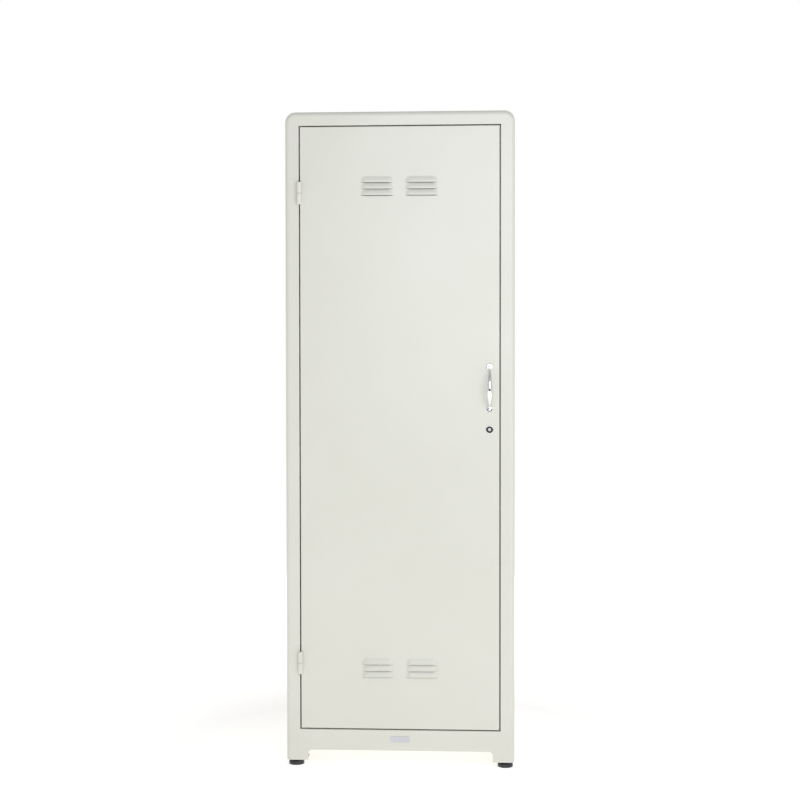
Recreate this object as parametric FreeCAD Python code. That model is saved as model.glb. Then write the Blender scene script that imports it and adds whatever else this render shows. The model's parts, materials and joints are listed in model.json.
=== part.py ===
"""Single-door steel locker cabinet on levelling feet.

Units are millimetres. +X is the right-hand side seen from the front, the door faces -Y and
+Z is up. The origin lies on the floor, under the middle of the whole object's box.
"""
import FreeCAD, Part
import math
import os

# ---- Driving dimensions ----
cabinet_width = 552.0
cabinet_depth = 450.0
cabinet_height = 1580.0
sheet = 1.2                     # thickness of all the pressed steel sheet
corner_radius = 25.0            # top left and top right corners, seen from the front
front_edge_radius = 12.0        # soft bend between the front face and the sides and top
rear_edge_radius = 2.5
fold_radius = 1.5               # sharp folds at the door opening and round the door

opening_half_width = 242.5
opening_bottom = 89.5
opening_top = 1546.5
stop_depth = 23.0               # door stop flange, behind the front face
stop_width = 12.0
rear_flange = 15.0
back_lap = 10.0                 # overlap of the back panel and the rear rail
floor_fold = 25.0               # depth of the floor panel's folded edges

leg_bottom = 14.0
leg_width = 52.0
rail_bottom = 39.5
arch_radius = 10.0              # inner corners between the legs and the rails
arch_return = 12.0              # folded edge round the arches

door_gap = 3.0
door_depth = 20.0
door_flange = 36.0              # inward flange on the back of the door
stiffener_half_width = 30.0
stiffener_height = 14.0
stiffener_lip = 12.0
stiffener_bottom = 320.0
stiffener_top = 1330.0

louvre_length = 80.0
louvre_height = 15.0
louvre_rise = 5.0
louvre_pitch = 15.5
louvre_spacing = 107.0          # from the middle of one column to the middle of the other
louvre_rows = 3
louvre_slot = 1.0               # strip cut away under each lip
louvre_slot_length = 74.0
top_louvre_lip = 1379.0         # lowest slot of the upper group
bottom_louvre_lip = 218.3       # lowest slot of the lower group

hinge_barrel_radius = 5.75
hinge_pin_radius = 3.0
hinge_knuckle = 26.5
hinge_leaf = 1.3
hinge_bottoms = {"lower": 225.3, "upper": 1358.0}

handle_projection = 30.0
handle_x = 216.0
handle_middle_z = 917.0
handle_screw_spacing = 101.0
handle_pad_radius = 7.75
handle_pad_height = 3.4
grip_start = 2.6                # middle of the grip's ends, in front of the door
grip_end_half_width = 3.2
grip_half_width = 6.0
grip_end_half_thickness = 2.6
grip_half_thickness = 4.2

lock_x = 216.0
lock_z = 817.5
lock_plug_radius = 3.85
lock_body_radius = 8.0
lock_bezel_radius = 9.5
lock_bezel_height = 1.6
lock_ring_radius = 7.75
lock_ring_height = 1.2
lock_projection = 3.0           # plug's face, in front of the door
lock_nut_flats = 22.0
lock_nut_height = 4.0
cam_setback = 26.2              # cam's near face, behind the front face
cam_thickness = 2.0
cam_hub_radius = 7.0
cam_half_width = 6.0
cam_reach = 27.0                # from the lock's axis to the cam's tip
cam_square = 2.6                # half the side of the plug's square end
keyway_half_width = 0.6
keyway_depth = 18.0

shelf_top = 1300.0
shelf_lip = 20.0
shelf_setback = 14.0            # shelf's front edge, behind the door stop
shelf_rail_height = 18.0
shelf_rail_ledge = 16.0
shelf_rail_setback = 25.0
rod_z = 1235.0
rod_radius = 9.5
socket_flange_radius = 23.0
socket_flange = 2.2
socket_cup = 12.0
socket_screw_offset = 17.5
foot_radius = 18.5
foot_inset = 22.0               # foot axis, in from the side and from the front or back
stud_radius = 4.0
foot_plate_thickness = 3.0
stud_bottom = 4.0
stud_length = 40.0
foot_nut_flats = 13.0
foot_nut_height = 6.5
running_gap = 0.05              # radial clearance of a shaft that turns or slides in a bore

plate_width = 47.0
plate_height = 14.5
plate_z = 67.0

catch_z = 1060.0
catch_screw_x = 235.0
catch_screw_radius = 1.6
catch_screw_offset = 15.0
magnet_near_x = 213.0
magnet_far_x = 223.5
catch_near_x = 209.0
catch_far_x = 239.0
catch_half_height = 21.0
strike_near_x = 207.0
strike_far_x = 227.0
strike_half_height = 20.0
strike_thickness = 1.5
magnet_half_height = 15.0
bumper_x = 235.5
bumper_radius = 4.0
bumper_height = 2.5
bumper_heights = (160.0, 1480.0)

# ---- Places worked out from them ----
front_y = (handle_projection - cabinet_depth) / 2
back_y = front_y + cabinet_depth
side_x = cabinet_width / 2
arch_half_width = side_x - leg_width
door_half_width = opening_half_width - door_gap
door_bottom = opening_bottom + door_gap
door_top = opening_top - door_gap
stop_y = front_y + stop_depth
stop_edge = opening_half_width - stop_width
back_panel_front = back_y - 2 * sheet
inside_middle_y = (stop_y + back_panel_front) / 2
hinge_x = -(opening_half_width - door_gap / 2)
hinge_y = front_y - hinge_barrel_radius

V = FreeCAD.Vector
X_AXIS = V(1, 0, 0)
Y_AXIS = V(0, 1, 0)
Z_AXIS = V(0, 0, 1)


# ---- Small shape helpers ----
def block(x0, x1, y0, y1, z0, z1):
    """Rectangular block between two corners."""
    return Part.makeBox(x1 - x0, y1 - y0, z1 - z0, V(x0, y0, z0))


def rod_along(axis, radius, length, x, y, z):
    """Round bar that starts at a point and runs along an axis."""
    return Part.makeCylinder(radius, length, V(x, y, z), axis)


def turned(profile, x, y):
    """Solid turned about the vertical line at x, y from (radius, height) points."""
    points = [V(x + radius, y, height) for radius, height in profile]
    face = Part.Face(Part.makePolygon(points + [points[0]]))
    return face.revolve(V(x, y, 0), Z_AXIS, 360)


def hex_prism(axis, across_flats, height, x, y, z):
    """Hexagonal prism that starts at a point and runs along an axis."""
    circle = across_flats / math.sqrt(3)
    corners = []
    for i in range(7):
        angle = math.radians(60 * i)
        corners.append(V(circle * math.cos(angle), circle * math.sin(angle), 0))
    prism = Part.Face(Part.makePolygon(corners)).extrude(V(0, 0, height))
    prism.Placement = FreeCAD.Placement(V(x, y, z), FreeCAD.Rotation(Z_AXIS, axis))
    return prism


def rounded(solid, radius, wanted):
    """Round the edges whose bounding box satisfies a test."""
    edges = [edge for edge in solid.Edges if wanted(edge.BoundBox)]
    return solid.makeFillet(radius, edges)


def mirrored(solid):
    """The same solid on the other side of the cabinet."""
    return solid.mirror(V(0, 0, 0), X_AXIS)


def pan_head_screw(axis, head_radius, head_height, shank_radius, shank, x, y, z):
    """Cross-recessed screw. The point is under the head and the axis runs towards the tip."""
    tip = Part.makeCylinder(shank_radius, shank, V(0, 0, 0), Z_AXIS)
    head = Part.makeCylinder(head_radius, head_height, V(0, 0, -head_height), Z_AXIS)
    head = rounded(head, head_height * 0.6, lambda b: b.ZMax < -head_height + 0.01)
    screw = tip.fuse(head).removeSplitter()
    arm = head_radius * 0.55
    thin = head_radius * 0.14
    depth = head_height * 0.5
    for half_x, half_y in ((arm, thin), (thin, arm)):
        screw = screw.cut(block(-half_x, half_x, -half_y, half_y, -head_height - 1, depth - head_height))
    screw.Placement = FreeCAD.Placement(V(x, y, z), FreeCAD.Rotation(Z_AXIS, axis))
    return screw


# ---- Cabinet shell ----
def shell_form(inset, bottom):
    """Solid outline of the cabinet, drawn in by the inset on all faces but the bottom."""
    half = side_x - inset
    near = front_y + inset
    far = back_y - inset
    top = cabinet_height - inset
    body = block(-half, half, near, far, bottom, top)
    body = rounded(body, corner_radius - inset,
                   lambda b: b.YLength > 1 and b.XLength < 1 and b.ZMin > top - 1)
    body = rounded(body, front_edge_radius - inset, lambda b: b.YMax < near + 0.01 and b.ZMax > bottom + 1)
    return rounded(body, rear_edge_radius - inset, lambda b: b.YMin > far - 0.01 and b.ZMax > bottom + 1)


def arch(half_width, top, radius, y0, y1):
    """Flat-topped opening between two legs, as a solid that runs along Y."""
    solid = block(-half_width, half_width, y0, y1, -20, top)
    return rounded(solid, radius, lambda b: b.YLength > 1 and b.XLength < 1 and b.ZMin > top - 1)


def arch_lip(half_width, y0, y1):
    """Folded edge that follows an arch."""
    outside = arch(half_width + sheet, rail_bottom + sheet, arch_radius + sheet, y0, y1)
    lip = outside.cut(arch(half_width, rail_bottom, arch_radius, y0 - 1, y1 + 1))
    return lip.common(block(-side_x, side_x, y0, y1, leg_bottom, cabinet_height))


def turned_to_side(solid):
    """Turn a shape made along Y so that it runs along X, at the middle of the depth."""
    turned_solid = solid.copy()
    turned_solid.rotate(V(0, 0, 0), Z_AXIS, -90)
    turned_solid.translate(V(0, (front_y + back_y) / 2, 0))
    return turned_solid


def outer_sheet():
    """Bent outer skin, before it is divided into its panels."""
    skin = shell_form(0, leg_bottom).cut(shell_form(sheet, leg_bottom - 20))
    doorway = block(-opening_half_width, opening_half_width, front_y - 1, front_y + sheet + 1,
                    opening_bottom, opening_top)
    back_hole = block(rear_flange - side_x, side_x - rear_flange, back_y - 20, back_y + 1,
                      opening_bottom, cabinet_height - rear_flange)
    side_arch = turned_to_side(arch(cabinet_depth / 2 - leg_width, rail_bottom, arch_radius,
                                    -side_x - 1, side_x + 1))
    long_arch = arch(arch_half_width, rail_bottom, arch_radius, front_y - 1, back_y + 1)
    for hole in (doorway, back_hole, side_arch, long_arch):
        skin = skin.cut(hole)
    return skin


def header_rounding(z, direction):
    """Corner to remove from a fold that runs along X. The direction points into the metal."""
    low, high = sorted((z, z + direction * fold_radius))
    corner = block(-opening_half_width, opening_half_width, front_y, front_y + fold_radius, low, high)
    return corner.cut(rod_along(X_AXIS, fold_radius, 2 * opening_half_width, -opening_half_width,
                                front_y + fold_radius, z + direction * fold_radius))


def stile_rounding():
    """Corner to remove from the fold between the right-hand stile and its jamb."""
    tall = opening_top - opening_bottom
    corner = block(opening_half_width, opening_half_width + fold_radius, front_y, front_y + fold_radius,
                   opening_bottom, opening_top)
    return corner.cut(rod_along(Z_AXIS, fold_radius, tall, opening_half_width + fold_radius,
                                front_y + fold_radius, opening_bottom))


def side_panel(skin):
    """Right-hand side wall, stile, jamb, door stop and rear flange, folded from one sheet."""
    region = block(opening_half_width, side_x + 1, front_y - 1, back_y + 1, leg_bottom - 1, opening_top)
    panel = skin.common(region).cut(rear_rail_region())
    jamb = block(opening_half_width, opening_half_width + sheet, front_y, stop_y + sheet,
                 opening_bottom, opening_top)
    stop = block(stop_edge, opening_half_width + sheet, stop_y, stop_y + sheet,
                 opening_bottom, opening_top)
    lip = turned_to_side(arch_lip(cabinet_depth / 2 - leg_width, side_x - arch_return, side_x))
    lip = lip.common(region)
    return panel.fuse([jamb, stop, lip]).cut(stile_rounding()).removeSplitter()


def top_panel(skin):
    """Roof with both rounded corners, the header over the door, its jamb and its stop."""
    region = block(-side_x - 1, side_x + 1, front_y - 1, back_y + 1, opening_top, cabinet_height + 1)
    panel = skin.common(region)
    jamb = block(-opening_half_width, opening_half_width, front_y, stop_y + sheet,
                 opening_top, opening_top + sheet)
    stop = block(-stop_edge, stop_edge, stop_y, stop_y + sheet,
                 opening_top - stop_width, opening_top + sheet)
    return panel.fuse([jamb, stop]).cut(header_rounding(opening_top, 1)).removeSplitter()


def bottom_rail(skin):
    """Rail under the door with the inner halves of the front legs, its jamb and its stop."""
    rail = skin.common(block(-opening_half_width, opening_half_width, front_y - 1, front_y + 20,
                             leg_bottom - 1, opening_bottom))
    jamb = block(-opening_half_width, opening_half_width, front_y, stop_y + sheet,
                 opening_bottom - sheet, opening_bottom)
    stop = block(-stop_edge, stop_edge, stop_y, stop_y + sheet,
                 opening_bottom - sheet, opening_bottom + stop_width)
    lip = arch_lip(arch_half_width, front_y, front_y + arch_return)
    return rail.fuse([jamb, stop, lip]).cut(header_rounding(opening_bottom, -1)).removeSplitter()


def rear_rail_region():
    """Where the rear rail lies, between the rear flanges of the side panels."""
    half = side_x - rear_flange
    return block(-half, half, back_y - sheet, back_y + 1, leg_bottom - 1, opening_bottom)


def rear_rail(skin):
    """Rail under the back panel with the inner halves of the rear legs."""
    rail = skin.common(rear_rail_region())
    lip = arch_lip(arch_half_width, back_y - arch_return, back_y)
    return rail.fuse(lip).removeSplitter()


def back_panel():
    """Flat back, welded inside the rear flanges and lapped over the rear rail."""
    margin = sheet + fold_radius
    half = side_x - margin
    top = cabinet_height - margin
    panel = block(-half, half, back_panel_front, back_y - sheet, opening_bottom - back_lap, top)
    return rounded(panel, corner_radius, lambda b: b.XLength < 1 and b.ZMin > top - 1 and b.YLength > 1)


def floor_panel():
    """Raised floor under the bottom rail's jamb, welded to the sides. Two edges are folded down."""
    half = side_x - sheet
    near = front_y + sheet
    top = opening_bottom - sheet
    low = top - floor_fold
    floor = block(-half, half, near, back_panel_front, top - sheet, top)
    floor = rounded(floor, front_edge_radius,
                    lambda b: b.ZLength > 1 and b.XLength < 1 and b.YMax < near + 1)
    straight = half - front_edge_radius
    front_fold = block(-straight, straight, near, near + sheet, low, top)
    rear_fold = block(-straight, straight, back_panel_front - sheet, back_panel_front, low, top)
    return floor.fuse([front_fold, rear_fold]).removeSplitter()


# ---- Feet ----
def foot_places():
    """Foot axes by name."""
    places = {}
    for end, y in (("front", front_y + foot_inset), ("rear", back_y - foot_inset)):
        for side, x in (("left", foot_inset - side_x), ("right", side_x - foot_inset)):
            places[end + "_" + side] = (x, y)
    return places


def foot_plate(x, y):
    """Square plate welded across the bottom of a leg, with a plain hole for the stud."""
    outer = side_x - sheet
    inner = arch_half_width + sheet
    if y < inside_middle_y:
        near, far = front_y + sheet, front_y + leg_width - sheet
    else:
        near, far = back_y - leg_width + sheet, back_y - sheet
    low, high = (inner, outer) if x > 0 else (-outer, -inner)
    plate = block(low, high, near, far, leg_bottom, leg_bottom + foot_plate_thickness)
    edge_x = outer if x > 0 else -outer
    edge_y = near if y < inside_middle_y else far
    plate = rounded(plate, front_edge_radius,
                    lambda b: b.ZLength > 1 and abs(b.XMax - edge_x) < 0.01 and abs(b.YMax - edge_y) < 0.01)
    return plate.cut(rod_along(Z_AXIS, stud_radius + running_gap, 20, x, y, leg_bottom - 5))


def foot_nut(x, y):
    """Weld nut on top of a foot plate."""
    seat = leg_bottom + foot_plate_thickness
    nut = hex_prism(Z_AXIS, foot_nut_flats, foot_nut_height, x, y, seat)
    return nut.cut(rod_along(Z_AXIS, stud_radius + running_gap, 20, x, y, seat - 5))


def foot_base(x, y):
    """Round moulded base with a lipped rim, a coned top and a hub round the stud."""
    profile = [(0, 0), (foot_radius - 1.5, 0), (foot_radius - 0.4, 1.0), (foot_radius, 2.6),
               (foot_radius, 7.2), (foot_radius - 1.4, 8.6), (12.0, 9.6), (8.5, 11.4), (8.5, 13.6), (0, 13.6)]
    base = turned(profile, x, y)
    return base.cut(rod_along(Z_AXIS, stud_radius, 20, x, y, stud_bottom))


def foot_stud(x, y):
    """Threaded stud, moulded into the base and screwed up through the plate and its nut."""
    stud = rod_along(Z_AXIS, stud_radius, stud_length, x, y, stud_bottom)
    top = stud_bottom + stud_length
    return stud.makeChamfer(1.0, [e for e in stud.Edges if e.BoundBox.ZMin > top - 0.1])


# ---- Inside fittings ----
def shelf_rail():
    """Angle welded to the right-hand side, for the shelf to rest on."""
    outer = side_x - sheet
    top = shelf_top - sheet
    near = stop_y + shelf_rail_setback
    far = back_panel_front - stop_width
    upright = block(outer - sheet, outer, near, far, top - shelf_rail_height, top)
    ledge = block(outer - shelf_rail_ledge, outer, near, far, top - sheet, top)
    return upright.fuse(ledge).removeSplitter()


def hat_shelf():
    """Shelf with its front and rear edges folded down."""
    half = side_x - sheet - 1.0
    near = stop_y + sheet + shelf_setback
    far = back_panel_front - 1.0
    shelf = block(-half, half, near, far, shelf_top - sheet, shelf_top)
    lips = []
    clear = half - shelf_rail_height
    for y0 in (near, far - sheet):
        lips.append(block(-clear, clear, y0, y0 + sheet, shelf_top - shelf_lip, shelf_top))
    return shelf.fuse(lips).removeSplitter()


def hanger_rod():
    """Round tube for clothes hangers, from side to side."""
    half = side_x - sheet - 2.5
    tube = rod_along(X_AXIS, rod_radius, 2 * half, -half, inside_middle_y, rod_z)
    return tube.cut(rod_along(X_AXIS, rod_radius - sheet, 2 * half + 2, -half - 1, inside_middle_y, rod_z))


def rod_socket():
    """Flanged cup on the right-hand side that carries the rod's end."""
    wall = side_x - sheet
    face = wall - socket_flange
    flange = rod_along(X_AXIS, socket_flange_radius, socket_flange, face, inside_middle_y, rod_z)
    flange = rounded(flange, 1.0, lambda b: b.XMax < face + 0.1)
    cup = rod_along(X_AXIS, rod_radius + 3.0, socket_cup, wall - socket_cup, inside_middle_y, rod_z)
    socket = flange.fuse(cup).removeSplitter()
    socket = socket.cut(rod_along(X_AXIS, rod_radius, socket_cup, face - socket_cup, inside_middle_y, rod_z))
    for offset in (-socket_screw_offset, socket_screw_offset):
        hole = rod_along(X_AXIS, 2.0, 6.0, wall - 4, inside_middle_y, rod_z + offset)
        socket = socket.cut(hole)
    return socket


def rod_socket_screws():
    """Two short screws in each socket flange, tapped into the side."""
    face = side_x - sheet - socket_flange
    screws = []
    for offset in (-socket_screw_offset, socket_screw_offset):
        screws.append(pan_head_screw(X_AXIS, 3.6, 2.0, 2.0, socket_flange,
                                     face, inside_middle_y, rod_z + offset))
    screws += [mirrored(screw) for screw in screws]
    return Part.Compound(screws)


def drilled_for_catch(piece, y):
    """Drill the two screw holes of the magnetic catch, starting just before y."""
    for offset in (-catch_screw_offset, catch_screw_offset):
        hole = rod_along(Y_AXIS, catch_screw_radius, 8, catch_screw_x, y - 1, catch_z + offset)
        piece = piece.cut(hole)
    return piece


def catch_housing():
    """Moulded body of the magnetic catch, fixed behind the right-hand door stop."""
    near = stop_y + sheet
    low = catch_z - catch_half_height
    high = catch_z + catch_half_height
    base = block(catch_near_x + 2, catch_far_x, near, near + 2.2, low - 2, high + 2)
    body = block(catch_near_x, stop_edge - 0.6, front_y + door_depth + 3.0, near + 13, low, high)
    housing = base.fuse(body).removeSplitter()
    housing = housing.cut(block(magnet_near_x, magnet_far_x, front_y, near + 10,
                                catch_z - magnet_half_height, catch_z + magnet_half_height))
    return drilled_for_catch(housing, near)


def catch_magnet():
    """Magnet between two steel pole pieces, standing just proud of the housing."""
    face = front_y + door_depth + 1.8
    return block(magnet_near_x, magnet_far_x, face, stop_y + sheet + 10,
                 catch_z - magnet_half_height, catch_z + magnet_half_height)


def catch_screws():
    """Screws through the door stop into the catch."""
    screws = []
    for offset in (-catch_screw_offset, catch_screw_offset):
        screws.append(pan_head_screw(Y_AXIS, 2.6, 1.4, catch_screw_radius, 3.4,
                                     catch_screw_x, stop_y, catch_z + offset))
    return Part.Compound(screws)


def door_bumpers():
    """Rubber buttons on the door stop that quieten the closing door."""
    bumpers = []
    for height in bumper_heights:
        face = stop_y - bumper_height
        bumper = rod_along(Y_AXIS, bumper_radius, bumper_height, bumper_x, face, height)
        bumpers.append(rounded(bumper, 1.0, lambda b: b.YMax < face + 0.1))
    return Part.Compound(bumpers)


# ---- Hinges ----
def hinge_frame_leaf(bottom):
    """Lower knuckle and its leaf on the jamb."""
    knuckle = rod_along(Z_AXIS, hinge_barrel_radius, hinge_knuckle, hinge_x, hinge_y, bottom)
    knuckle = rounded(knuckle, 2.0, lambda b: b.ZMax < bottom + 0.01)
    leaf = block(-opening_half_width, hinge_leaf - opening_half_width, hinge_y, stop_y - 3,
                 bottom + 2.5, bottom + hinge_knuckle)
    return knuckle.fuse(leaf).cut(rod_along(Z_AXIS, hinge_pin_radius, 40, hinge_x, hinge_y, bottom + 4))


def hinge_pin(bottom):
    """Pin held in the lower knuckle and standing up into the upper one."""
    pin = rod_along(Z_AXIS, hinge_pin_radius, hinge_knuckle + 14, hinge_x, hinge_y, bottom + 4)
    return pin.makeChamfer(0.8, [e for e in pin.Edges if e.BoundBox.ZMin > bottom + hinge_knuckle + 17.9])


def hinge_door_leaf(bottom):
    """Upper knuckle and its leaf on the door's edge. It lifts off the pin."""
    start = bottom + hinge_knuckle + 0.3
    top = start + hinge_knuckle
    knuckle = rod_along(Z_AXIS, hinge_barrel_radius, hinge_knuckle, hinge_x, hinge_y, start)
    knuckle = rounded(knuckle, 1.2, lambda b: b.ZMin > top - 0.01)
    leaf = block(-door_half_width - hinge_leaf, -door_half_width, hinge_y, front_y + door_depth - 2,
                 start, top - 1.5)
    bore = rod_along(Z_AXIS, hinge_pin_radius + running_gap, 19, hinge_x, hinge_y, start - 1)
    return knuckle.fuse(leaf).cut(bore)


# ---- Door ----
def louvre_form(x, lip, inset):
    """Pressed hood with round ends, cut off flat along its lower lip."""
    radius = (louvre_height ** 2 + louvre_rise ** 2) / (2 * louvre_rise)
    depth = radius - louvre_rise
    straight = louvre_length / 2 - louvre_height
    centre = front_y + depth
    form = rod_along(X_AXIS, radius - inset, 2 * straight, x - straight, centre, lip)
    for end in (-straight, straight):
        form = form.fuse(Part.makeSphere(radius - inset, V(x + end, centre, lip)))
    return form.common(block(x - louvre_length, x + louvre_length, front_y - louvre_height,
                             front_y + sheet, lip, lip + 2 * louvre_height))


def louvre_places():
    """Middle and lower lip of every louvre."""
    places = []
    for lowest in (top_louvre_lip, bottom_louvre_lip):
        for row in range(louvre_rows):
            for side in (-1, 1):
                places.append((side * louvre_spacing / 2, lowest + row * louvre_pitch))
    return places


def door_panel():
    """Outer skin with louvres, folded back round the edges and in again at the back."""
    half = door_half_width
    far = front_y + door_depth
    panel = block(-half, half, front_y, far, door_bottom, door_top)
    panel = rounded(panel, fold_radius, lambda b: b.YMax < front_y + 0.01)
    panel = panel.cut(block(sheet - half, half - sheet, front_y + sheet, far - sheet,
                            door_bottom + sheet, door_top - sheet))
    panel = panel.cut(block(door_flange - half, half - door_flange, front_y + sheet, far + 1,
                            door_bottom + door_flange, door_top - door_flange))
    for x, lip in louvre_places():
        panel = panel.fuse(louvre_form(x, lip, 0)).cut(louvre_form(x, lip, sheet))
        half_slot = louvre_slot_length / 2
        panel = panel.cut(block(x - half_slot, x + half_slot, front_y - 1, front_y + sheet + 1,
                                lip - louvre_slot, lip))
    lock_hole = rod_along(Y_AXIS, lock_body_radius, 40, lock_x, front_y - 10, lock_z)
    panel = panel.cut(lock_hole)
    for z in handle_screw_heights():
        panel = panel.cut(rod_along(Y_AXIS, 2.0, 10, handle_x, front_y - 5, z))
    return panel.removeSplitter()


def door_stiffener():
    """Hat-section channel welded up the middle of the door, between the louvre groups."""
    near = front_y + sheet
    far = near + stiffener_height
    half = stiffener_half_width
    hat = block(-half, half, near, far, stiffener_bottom, stiffener_top)
    hat = hat.cut(block(sheet - half, half - sheet, near - 1, far - sheet,
                        stiffener_bottom - 1, stiffener_top + 1))
    lips = []
    for side in (-1, 1):
        x0, x1 = sorted((side * (half - sheet), side * (half + stiffener_lip)))
        lips.append(block(x0, x1, near, near + sheet, stiffener_bottom, stiffener_top))
    return hat.fuse(lips).removeSplitter()


def strike_plate():
    """Steel plate on the door's back flange that the magnet holds."""
    near = front_y + door_depth
    plate = block(strike_near_x, strike_far_x, near, near + strike_thickness,
                  catch_z - strike_half_height, catch_z + strike_half_height)
    return rounded(plate, 3.0, lambda b: b.YLength > 1 and b.XLength < 1 and b.ZLength < 1)


# ---- Handle ----
def handle_screw_heights():
    """Heights of the two handle screws."""
    half = handle_screw_spacing / 2
    return (handle_middle_z - half, handle_middle_z + half)


def handle_grip():
    """Bow from pad to pad: an oval bar on a round arc, thickest in the middle."""
    end_half = handle_screw_spacing / 2 - handle_pad_radius
    rise = handle_projection - grip_half_thickness - grip_start
    radius = (end_half ** 2 + rise ** 2) / (2 * rise)
    sweep = math.asin(end_half / radius)
    wires = []
    steps = 8
    for i in range(-steps, steps + 1):
        angle = sweep * i / steps
        full = math.cos(math.pi / 2 * i / steps) ** 0.8 if abs(i) < steps else 0.0
        half_width = grip_end_half_width + (grip_half_width - grip_end_half_width) * full
        half_thick = grip_end_half_thickness + (grip_half_thickness - grip_end_half_thickness) * full
        out = grip_start + rise - radius + radius * math.cos(angle)
        centre = V(handle_x, front_y - out, handle_middle_z + radius * math.sin(angle))
        outward = V(0, -math.cos(angle), math.sin(angle))
        along = V(0, math.sin(angle), math.cos(angle))
        major = centre + X_AXIS * half_width
        minor = centre + outward * half_thick
        ellipse = Part.Ellipse(major, minor, centre)
        if ellipse.Axis.dot(along) < 0:
            ellipse = Part.Ellipse(centre - X_AXIS * half_width, minor, centre)
        wires.append(Part.Wire(ellipse.toShape()))
    return Part.makeLoft(wires, True, False)


def handle():
    """Bow handle with a round pad at each end."""
    solid = handle_grip()
    for z in handle_screw_heights():
        pad_face = front_y - handle_pad_height
        pad = rod_along(Y_AXIS, handle_pad_radius, handle_pad_height, handle_x, pad_face, z)
        pad = rounded(pad, 1.2, lambda b: b.YMax < pad_face + 0.01)
        solid = solid.fuse(pad)
    near_door = block(handle_x - 20, handle_x + 20, front_y, front_y + 20, handle_middle_z - 80,
                      handle_middle_z + 80)
    solid = solid.cut(near_door)
    for z in handle_screw_heights():
        solid = solid.cut(rod_along(Y_AXIS, 2.0, 20, handle_x, front_y - 15, z))
    return solid


def handle_screws():
    """One screw through each pad and the door's skin."""
    screws = []
    for z in handle_screw_heights():
        screws.append(pan_head_screw(Y_AXIS, 3.9, 2.2, 2.0, handle_pad_height + sheet + 6,
                                     handle_x, front_y - handle_pad_height, z))
    return Part.Compound(screws)


def handle_nuts():
    """Rivet nuts behind the door's skin."""
    nuts = []
    for z in handle_screw_heights():
        nut = hex_prism(Y_AXIS, 7.0, 5.0, handle_x, front_y + sheet, z)
        nuts.append(nut.cut(rod_along(Y_AXIS, 2.0, 12, handle_x, front_y, z)))
    return Part.Compound(nuts)


# ---- Lock ----
lock_face = front_y - lock_projection
cam_near = front_y + cam_setback


def lock_housing():
    """Threaded barrel with a bright bezel outside the door."""
    face = front_y - lock_bezel_height
    bezel = rod_along(Y_AXIS, lock_bezel_radius, lock_bezel_height, lock_x, face, lock_z)
    bezel = rounded(bezel, 0.9, lambda b: b.YMax < face + 0.1)
    barrel = rod_along(Y_AXIS, lock_body_radius, cam_setback - 0.6, lock_x, front_y, lock_z)
    housing = bezel.fuse(barrel)
    return housing.cut(rod_along(Y_AXIS, lock_plug_radius + running_gap, 60, lock_x, front_y - 20, lock_z))


def lock_ring():
    """Black collar round the key plug."""
    face = front_y - lock_bezel_height - lock_ring_height
    ring = rod_along(Y_AXIS, lock_ring_radius, lock_ring_height, lock_x, face, lock_z)
    ring = rounded(ring, 0.5, lambda b: b.YMax < face + 0.1)
    return ring.cut(rod_along(Y_AXIS, lock_plug_radius + running_gap, 20, lock_x, front_y - 10, lock_z))


def square_on_lock(y0, y1):
    """Square bar on the lock's axis, the size of the plug's end."""
    return block(lock_x - cam_square, lock_x + cam_square, y0, y1, lock_z - cam_square, lock_z + cam_square)


def lock_plug():
    """Turning core with its keyway and a square end for the cam."""
    core = rod_along(Y_AXIS, lock_plug_radius, cam_near - lock_face, lock_x, lock_face, lock_z)
    core = rounded(core, 0.4, lambda b: b.YMax < lock_face + 0.01)
    keyway = block(lock_x - keyway_half_width, lock_x + keyway_half_width, lock_face - 1,
                   lock_face + keyway_depth, lock_z - cam_square, lock_z + cam_square)
    plug = core.fuse(square_on_lock(cam_near, cam_near + cam_thickness)).cut(keyway)
    return plug.cut(rod_along(Y_AXIS, 1.5, 8, lock_x, cam_near - 4, lock_z))


def lock_nut():
    """Hexagon nut that clamps the barrel to the door's skin."""
    nut = hex_prism(Y_AXIS, lock_nut_flats, lock_nut_height, lock_x, front_y + sheet, lock_z)
    return nut.cut(rod_along(Y_AXIS, lock_body_radius, 20, lock_x, front_y - 5, lock_z))


def lock_cam():
    """Flat tongue that hangs down when unlocked and turns behind the door stop to lock."""
    far = cam_near + cam_thickness
    tip = lock_z - cam_reach
    hub = rod_along(Y_AXIS, cam_hub_radius, cam_thickness, lock_x, cam_near, lock_z)
    tongue = block(lock_x - cam_half_width, lock_x + cam_half_width, cam_near, far, tip, lock_z)
    tongue = rounded(tongue, 3.0, lambda b: b.YLength > 1 and b.ZMax < tip + 1)
    cam = hub.fuse(tongue).removeSplitter()
    return cam.cut(square_on_lock(cam_near - 1, far + 1))


def lock_cam_screw():
    """Screw that holds the cam on the plug's end."""
    return pan_head_screw(V(0, -1, 0), 4.2, 2.0, 1.5, 6.0, lock_x, cam_near + cam_thickness, lock_z)


# ---- Name plate ----
def name_plate():
    """Blank plate on the bottom rail with a raised border."""
    near = front_y - 1.0
    half = plate_width / 2
    low = plate_z - plate_height / 2
    high = plate_z + plate_height / 2
    plate = block(-half, half, near, front_y, low, high)
    plate = rounded(plate, 1.2, lambda b: b.YLength > 0.5 and b.XLength < 0.1 and b.ZLength < 0.1)
    plate = plate.cut(block(1.4 - half, half - 1.4, near - 1, near + 0.4, low + 1.4, high - 1.4))
    for side in (-1, 1):
        plate = plate.cut(rod_along(Y_AXIS, 0.9, 10, side * (half - 3.6), front_y - 5, plate_z))
    return plate


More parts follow.
